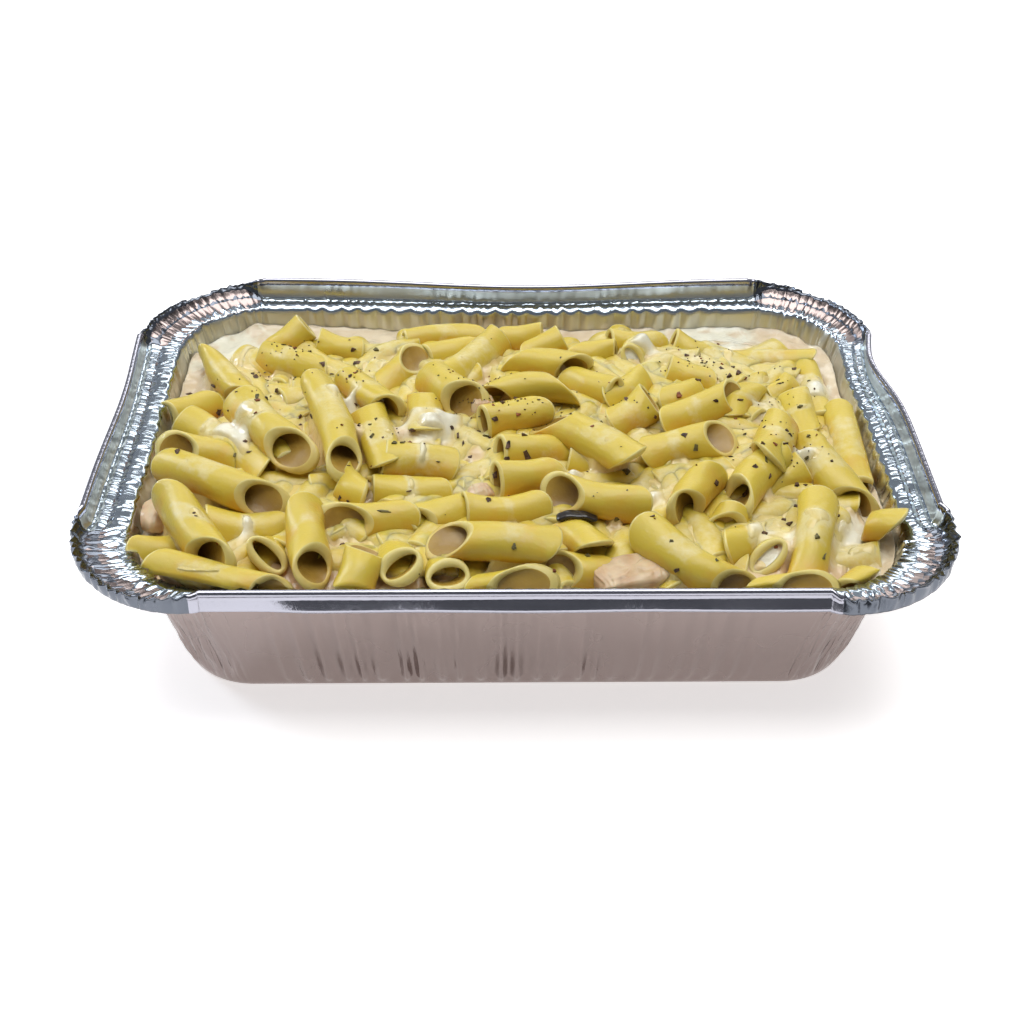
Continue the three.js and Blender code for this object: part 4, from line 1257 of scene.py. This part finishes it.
# The larger flakes, as the camera sees them: middle, width and height in pixels of
# its square picture, and the kind: d dark, o olive green, r red brown.
FLAKES_SEEN = (
    (214, 387, 7, 6, "d"), (188, 394, 9, 3, "d"), (219, 412, 8, 6, "d"), (253, 374, 4, 4, "d"),
    (257, 397, 4, 10, "o"), (277, 390, 6, 4, "d"), (283, 345, 7, 2, "o"), (312, 417, 7, 6, "d"),
    (300, 416, 4, 6, "d"), (353, 350, 5, 5, "d"), (357, 363, 8, 5, "d"), (376, 350, 6, 5, "o"),
    (322, 364, 6, 6, "d"), (372, 436, 6, 6, "o"), (412, 430, 8, 9, "d"), (178, 452, 6, 7, "d"),
    (340, 498, 7, 4, "d"), (348, 502, 6, 3, "d"), (342, 544, 5, 3, "d"), (383, 511, 16, 3, "o"),
    (409, 491, 5, 2, "d"), (486, 436, 10, 7, "o"), (470, 457, 5, 4, "d"), (495, 419, 9, 4, "d"),
    (524, 435, 9, 6, "d"), (508, 445, 6, 8, "d"), (527, 454, 12, 9, "d"), (507, 459, 6, 5, "d"),
    (495, 474, 7, 9, "d"), (488, 500, 6, 5, "d"), (626, 399, 5, 9, "d"), (626, 471, 8, 10, "o"),
    (685, 435, 8, 6, "d"), (695, 448, 9, 6, "o"), (698, 380, 6, 5, "d"), (679, 395, 6, 7, "r"),
    (729, 376, 7, 6, "d"), (738, 373, 9, 7, "d"), (716, 401, 7, 3, "d"), (740, 400, 7, 3, "d"),
    (716, 483, 7, 6, "d"), (745, 494, 6, 11, "d"), (756, 467, 7, 5, "d"), (766, 459, 3, 10, "o"),
    (770, 476, 4, 6, "d"), (794, 369, 6, 4, "d"), (800, 407, 6, 4, "o"), (797, 485, 6, 5, "d"),
    (806, 485, 5, 4, "d"), (797, 506, 7, 5, "d"), (790, 524, 8, 6, "d"), (784, 520, 5, 5, "d"),
    (817, 537, 6, 6, "o"), (824, 557, 4, 7, "o"), (838, 516, 6, 4, "d"), (764, 533, 8, 3, "d"),
    (776, 547, 4, 4, "r"), (514, 546, 7, 6, "o"), (588, 556, 6, 5, "o"), (554, 571, 4, 5, "r"),
    (617, 519, 6, 6, "o"), (652, 516, 7, 3, "d"), (677, 570, 7, 4, "d"), (717, 560, 5, 5, "o"),
    (671, 541, 6, 3, "o"), (194, 513, 4, 2, "d"), (196, 516, 4, 2, "d"), (458, 436, 3, 9, "d"),
    (463, 444, 3, 9, "d"), (478, 431, 6, 4, "d"), (452, 428, 5, 3, "d"), (245, 441, 5, 3, "d"),
    (235, 455, 5, 3, "o"), (249, 452, 6, 2, "d"), (223, 416, 7, 4, "r"), (722, 368, 6, 4, "d"),
    (745, 379, 5, 4, "r"), (733, 367, 6, 3, "d"), (217, 543, 5, 6, "r"),
)

LYING_STRETCH = 1.25  # how much taller a flake is than it looks from the camera

SPECK_FIELD = (94, 62)  # half the length and width that the specks keep to
SPECK_FINE = (0.3, 0.75)
SPECK_COARSE = (0.8, 1.8)
FINE_SHARE = 0.78
KIND_SHARES = (0.45, 0.25, 0.3)  # how many are dark, olive green and red brown

# Where small specks lie thick: middle and reach in mm, and how many.
SPECK_PATCHES = (
    (-62, 34, 13, 60), (-47, 24, 9, 34), (-10, 12, 9, 44), (2, 3, 10, 44), (57, 34, 10, 64),
    (75, 22, 12, 24), (80, -14, 8, 24), (30, 5, 12, 22), (70, -5, 10, 18), (-66, 2, 9, 14),
    (-30, -16, 12, 26), (0, 20, 60, 36), (20, -30, 70, 30),
)


def seen_ray(u, v):
    """From the camera out through a pixel of the picture."""
    ahead, right, up = camera_axes()
    middle = PICTURE_SIDE / 2
    across, above = (u - middle) / FOCAL_PIXELS, (middle - v) / FOCAL_PIXELS
    return (ahead + right * across + up * above).normalized()


def flake(at, normal, wide, tall, draw):
    """A crumb of leaf: a thin, jagged, slightly curled plate lying on the food."""
    corners = int(draw.integers(5, 8))
    even = np.linspace(0, 2 * math.pi, corners + 1)[:-1]
    turn = np.sort(draw.uniform(0, 2 * math.pi, corners) * 0.25 + even)
    reach = draw.uniform(0.7, 1.15, corners)
    flat = np.column_stack([reach * np.cos(turn) * wide / 2, reach * np.sin(turn) * tall / 2])
    up = normal + draw.normal(0, 0.22, 3)
    up /= np.linalg.norm(up)
    side = np.cross(up, np.array([0.0, 1.0, 0.05]))
    side /= np.linalg.norm(side)
    front = np.cross(up, side)
    lift = draw.uniform(0.12, 0.3)
    edge = at + np.outer(flat[:, 0], side) - np.outer(flat[:, 1], front)
    curl = draw.normal(0, 0.12, corners) * min(wide, tall)
    low = edge - up * 0.35
    high = edge + np.outer(lift + curl.clip(-0.1, 0.4), up)
    points = np.vstack([low, high, at + up * (lift + 0.1), at - up * 0.4])
    ring = range(corners)
    after = [(i + 1) % corners for i in ring]
    faces = [[i, j, corners + j, corners + i] for i, j in zip(ring, after)]
    faces += [[corners + i, corners + j, 2 * corners] for i, j in zip(ring, after)]
    faces += [[j, i, 2 * corners + 1] for i, j in zip(ring, after)]
    return points, faces


def speck_places(tree, draw):
    """Places for the small specks, dropped from above onto the food."""
    for x, y, reach, count in SPECK_PATCHES:
        for _ in range(count):
            px, py = draw.normal((x, y), reach * 0.6)
            at, normal, _, _ = drop_ray(tree, px, py)
            on_food = (np.abs(np.subtract((px, py), FIELD_MIDDLE)) < SPECK_FIELD).all()
            if at is not None and on_food:
                sizes = SPECK_FINE if draw.random() < FINE_SHARE else SPECK_COARSE
                wide = draw.uniform(*sizes)
                yield at, normal, wide, wide * draw.uniform(0.3, 1.1), draw.choice(3, p=KIND_SHARES)


def food_tree(food):
    """All the food as one tree that rays can be cast at."""
    points, faces = [], []
    for piece in food:
        start = len(points)
        points += [vertex.co / MM + Vector(TRAY_MIDDLE) for vertex in piece.data.vertices]
        faces += [[start + i for i in polygon.vertices] for polygon in piece.data.polygons]
    return BVHTree.FromPolygons(points, faces)


def flake_places(tree):
    """Places for the larger flakes, where the camera sees them on the food."""
    for u, v, wide, tall, kind in FLAKES_SEEN:
        at, normal, _, far = tree.ray_cast(Vector(CAMERA_AT), seen_ray(u, v))
        if at is not None:
            scale = far / FOCAL_PIXELS
            yield at, normal, wide * scale, tall * scale * LYING_STRETCH, "dor".index(kind)


def build_flakes(food, finishes):
    """Every flake and speck, each lying on the food under it."""
    tree = food_tree(food)
    draw = np.random.default_rng(SEED + 2)
    points, faces, kinds = [], [], []
    start = 0
    for at, normal, wide, tall, kind in [*flake_places(tree), *speck_places(tree, draw)]:
        part, sides = flake(np.array(at), np.array(normal), wide, tall, draw)
        points.append(part)
        faces += [[start + i for i in side] for side in sides]
        kinds += [kind] * len(sides)
        start += len(part)
    herbs = add_mesh("dried_herbs_and_pepper", np.vstack(points), faces, finishes, kinds)
    for polygon in herbs.data.polygons:
        polygon.use_smooth = False
    place_piece(herbs, "herb", "penne_heap")


# ---- Building the camera, light and table ------------------------------------------


def camera_axes():
    pitch, yaw, roll = (math.radians(v) for v in (CAMERA_PITCH, CAMERA_YAW, CAMERA_ROLL))
    level_share = math.cos(pitch)
    ahead = Vector((math.sin(yaw) * level_share, math.cos(yaw) * level_share, -math.sin(pitch)))
    level = ahead.cross(Vector((0, 0, 1))).normalized()
    raised = level.cross(ahead)
    right = level * math.cos(roll) + raised * math.sin(roll)
    up = raised * math.cos(roll) - level * math.sin(roll)
    return ahead, right, up


def build_camera():
    ahead, right, up = camera_axes()
    lens = bpy.data.cameras.new("camera")
    lens.sensor_width = SENSOR
    lens.lens = FOCAL_PIXELS / PICTURE_SIDE * SENSOR
    lens.clip_start = 0.01
    camera = bpy.data.objects.new("camera", lens)
    bpy.context.scene.collection.objects.link(camera)
    at = (Vector(CAMERA_AT) - Vector(TRAY_MIDDLE)) * MM
    camera.matrix_world = Matrix.Translation(at) @ Matrix((right, up, -ahead)).transposed().to_4x4()
    bpy.context.scene.camera = camera


def add_light(name, at, aim, size, power, colour):
    lamp = bpy.data.lights.new(name, "AREA")
    lamp.shape = "RECTANGLE"
    lamp.size, lamp.size_y = size
    lamp.energy = power
    lamp.color = linear(colour)[:3]
    light = bpy.data.objects.new(name, lamp)
    bpy.context.scene.collection.objects.link(light)
    light.location = at
    light.rotation_euler = (Vector(aim) - Vector(at)).to_track_quat("-Z", "Y").to_euler()


def build_light():
    """A studio with a wide soft light overhead, a window at the back left, a card
    at the back, and nothing bright in front, so that foil shows light and dark."""
    world = bpy.data.worlds.new("studio")
    bpy.context.scene.world = world
    world.use_nodes = True
    tree = world.node_tree
    tree.nodes.clear()
    way = add_node(tree, "ShaderNodeTexCoord").outputs["Generated"]
    parts = add_node(tree, "ShaderNodeSeparateXYZ", {"Vector": way}).outputs
    behind = spread(tree, parts["Y"], -0.6, 0.9, 0.2, 0.34)
    above = spread(tree, parts["Z"], -0.1, 0.05, 0.75)
    level = calculate(tree, "MULTIPLY", behind, above)
    glow = add_node(tree, "ShaderNodeBackground", {"Color": linear("#EEF1F8"), "Strength": level})
    add_node(tree, "ShaderNodeOutputWorld", {"Surface": glow.outputs[0]})
    for name, lamp in LAMPS.items():
        add_light(name, *lamp)
    bpy.context.scene.view_settings.view_transform = "Standard"
    bpy.context.scene.view_settings.look = "None"


def build_floor():
    """A white acrylic light table, whose front edge is just in front of the tray."""
    material, tree, place = start_material("lit_white_acrylic")
    relief = add_node(tree, "ShaderNodeBump", {"Height": noise(tree, place, 40, 2), "Strength": 0.02})
    finish_material(
        tree, Base_Color=linear("#F6F6F5"), Roughness=0.7, Normal=relief.outputs[0],
        Emission_Color=linear("#FFFBFA"), Emission_Strength=0.62)
    corners = [(-TABLE_SIDE, TABLE_FRONT, 0), (TABLE_SIDE, TABLE_FRONT, 0),
               (TABLE_SIDE, TABLE_BACK, 0), (-TABLE_SIDE, TABLE_BACK, 0)]
    floor = add_mesh("floor", corners, [[0, 1, 2, 3]], [material])


def build_food():
    """The penne, the sauce that lies round it, the chicken and the olive."""
    cream = cream_map()
    base = core_height(Outline(60, 40, 20))
    draw = np.random.default_rng(SEED)
    penne = {name: build_noodles(noodles, draw) for name, noodles in NOODLE_REGIONS.items()}
    shown = [part for parts in penne.values() for part in parts]
    sunk = build_noodles(sunk_noodles(look_down(shown)[0], base), draw, SUNK_GRID)
    penne |= dict(zip(SUNK_PIECES, in_thirds(sunk)))
    tops, mouths = look_down(shown + sunk)
    surface = sauce_surface(tops, mouths, base, cream)
    thickness = {"cream": cream, "pasta": pasta_film(tops, surface)}
    # Partly painted shade: the sauce in the heap is darker and pinker than in the pools, its darkness
    # standing in for shade in the gaps between noodles.
    sauce = cream_sauce_finish("cream_sauce_in_the_heap", "#E0CCA4", "#D0B084")
    pool = cream_sauce_finish("cream_sauce_in_the_pools", "#E0D0B2", "#D4BE9C")
    food = [build_core(surface, thickness, sauce), build_sauce_ring(surface, thickness, pool)]
    food += build_penne(penne, surface, cream, [
        boiled_penne("boiled_penne_skin", "#D4BC44", "#D49C2C", 0.6),
        boiled_penne("boiled_penne_cut", "#DACA7C", "#CCAC54", 0.5),
        # Painted shade: the inside of each tube is coloured darker than its skin, as if in shadow.
        boiled_penne("boiled_penne_inside_painted_shade", "#B4923C", "#906E2A", 0.2),
        sauce,
    ])
    chicken = cooked_chicken()
    for seed, (name, bit) in enumerate(CHICKEN_BITS.items()):
        food.append(build_chicken(name, *bit, chicken, 70 + seed * 5))
    food.append(build_olive(black_olive()))
    return food


def main():
    build_camera()
    build_light()
    build_floor()
    build_tray([
        rolled_foil("greasy_foil_inside", "#D3D2C8", 0.36, 0.3),
        rolled_foil("bright_rolled_foil", "#BCC8D2", 0.16, 0.3),
        # Painted reflection: the outside is tinted a dark pinkish grey, standing in for a pinkish
        # table mirrored in the wall.
        rolled_foil("embossed_foil_outside", "#9D8F8B", 0.25, 0.4),
        rolled_foil("smooth_rolled_foil", "#ADADB8", 0.15, 0.4),
        # Painted shade: the corner frills are the same foil tinted far darker and bluer, standing in
        # for the dark surroundings they mirror.
        rolled_foil("pleated_foil", "#6A6F78", 0.24, 0.4),
    ])
    build_flakes(build_food(), [
        dried_leaf("dried_leaf_dark", "#2E2016", "#6A4E38"),
        dried_leaf("dried_leaf_green", "#3E3A1E", "#766C3C"),
        dried_leaf("dried_leaf_red", "#552A16", "#9A5A30"),
    ])


main()
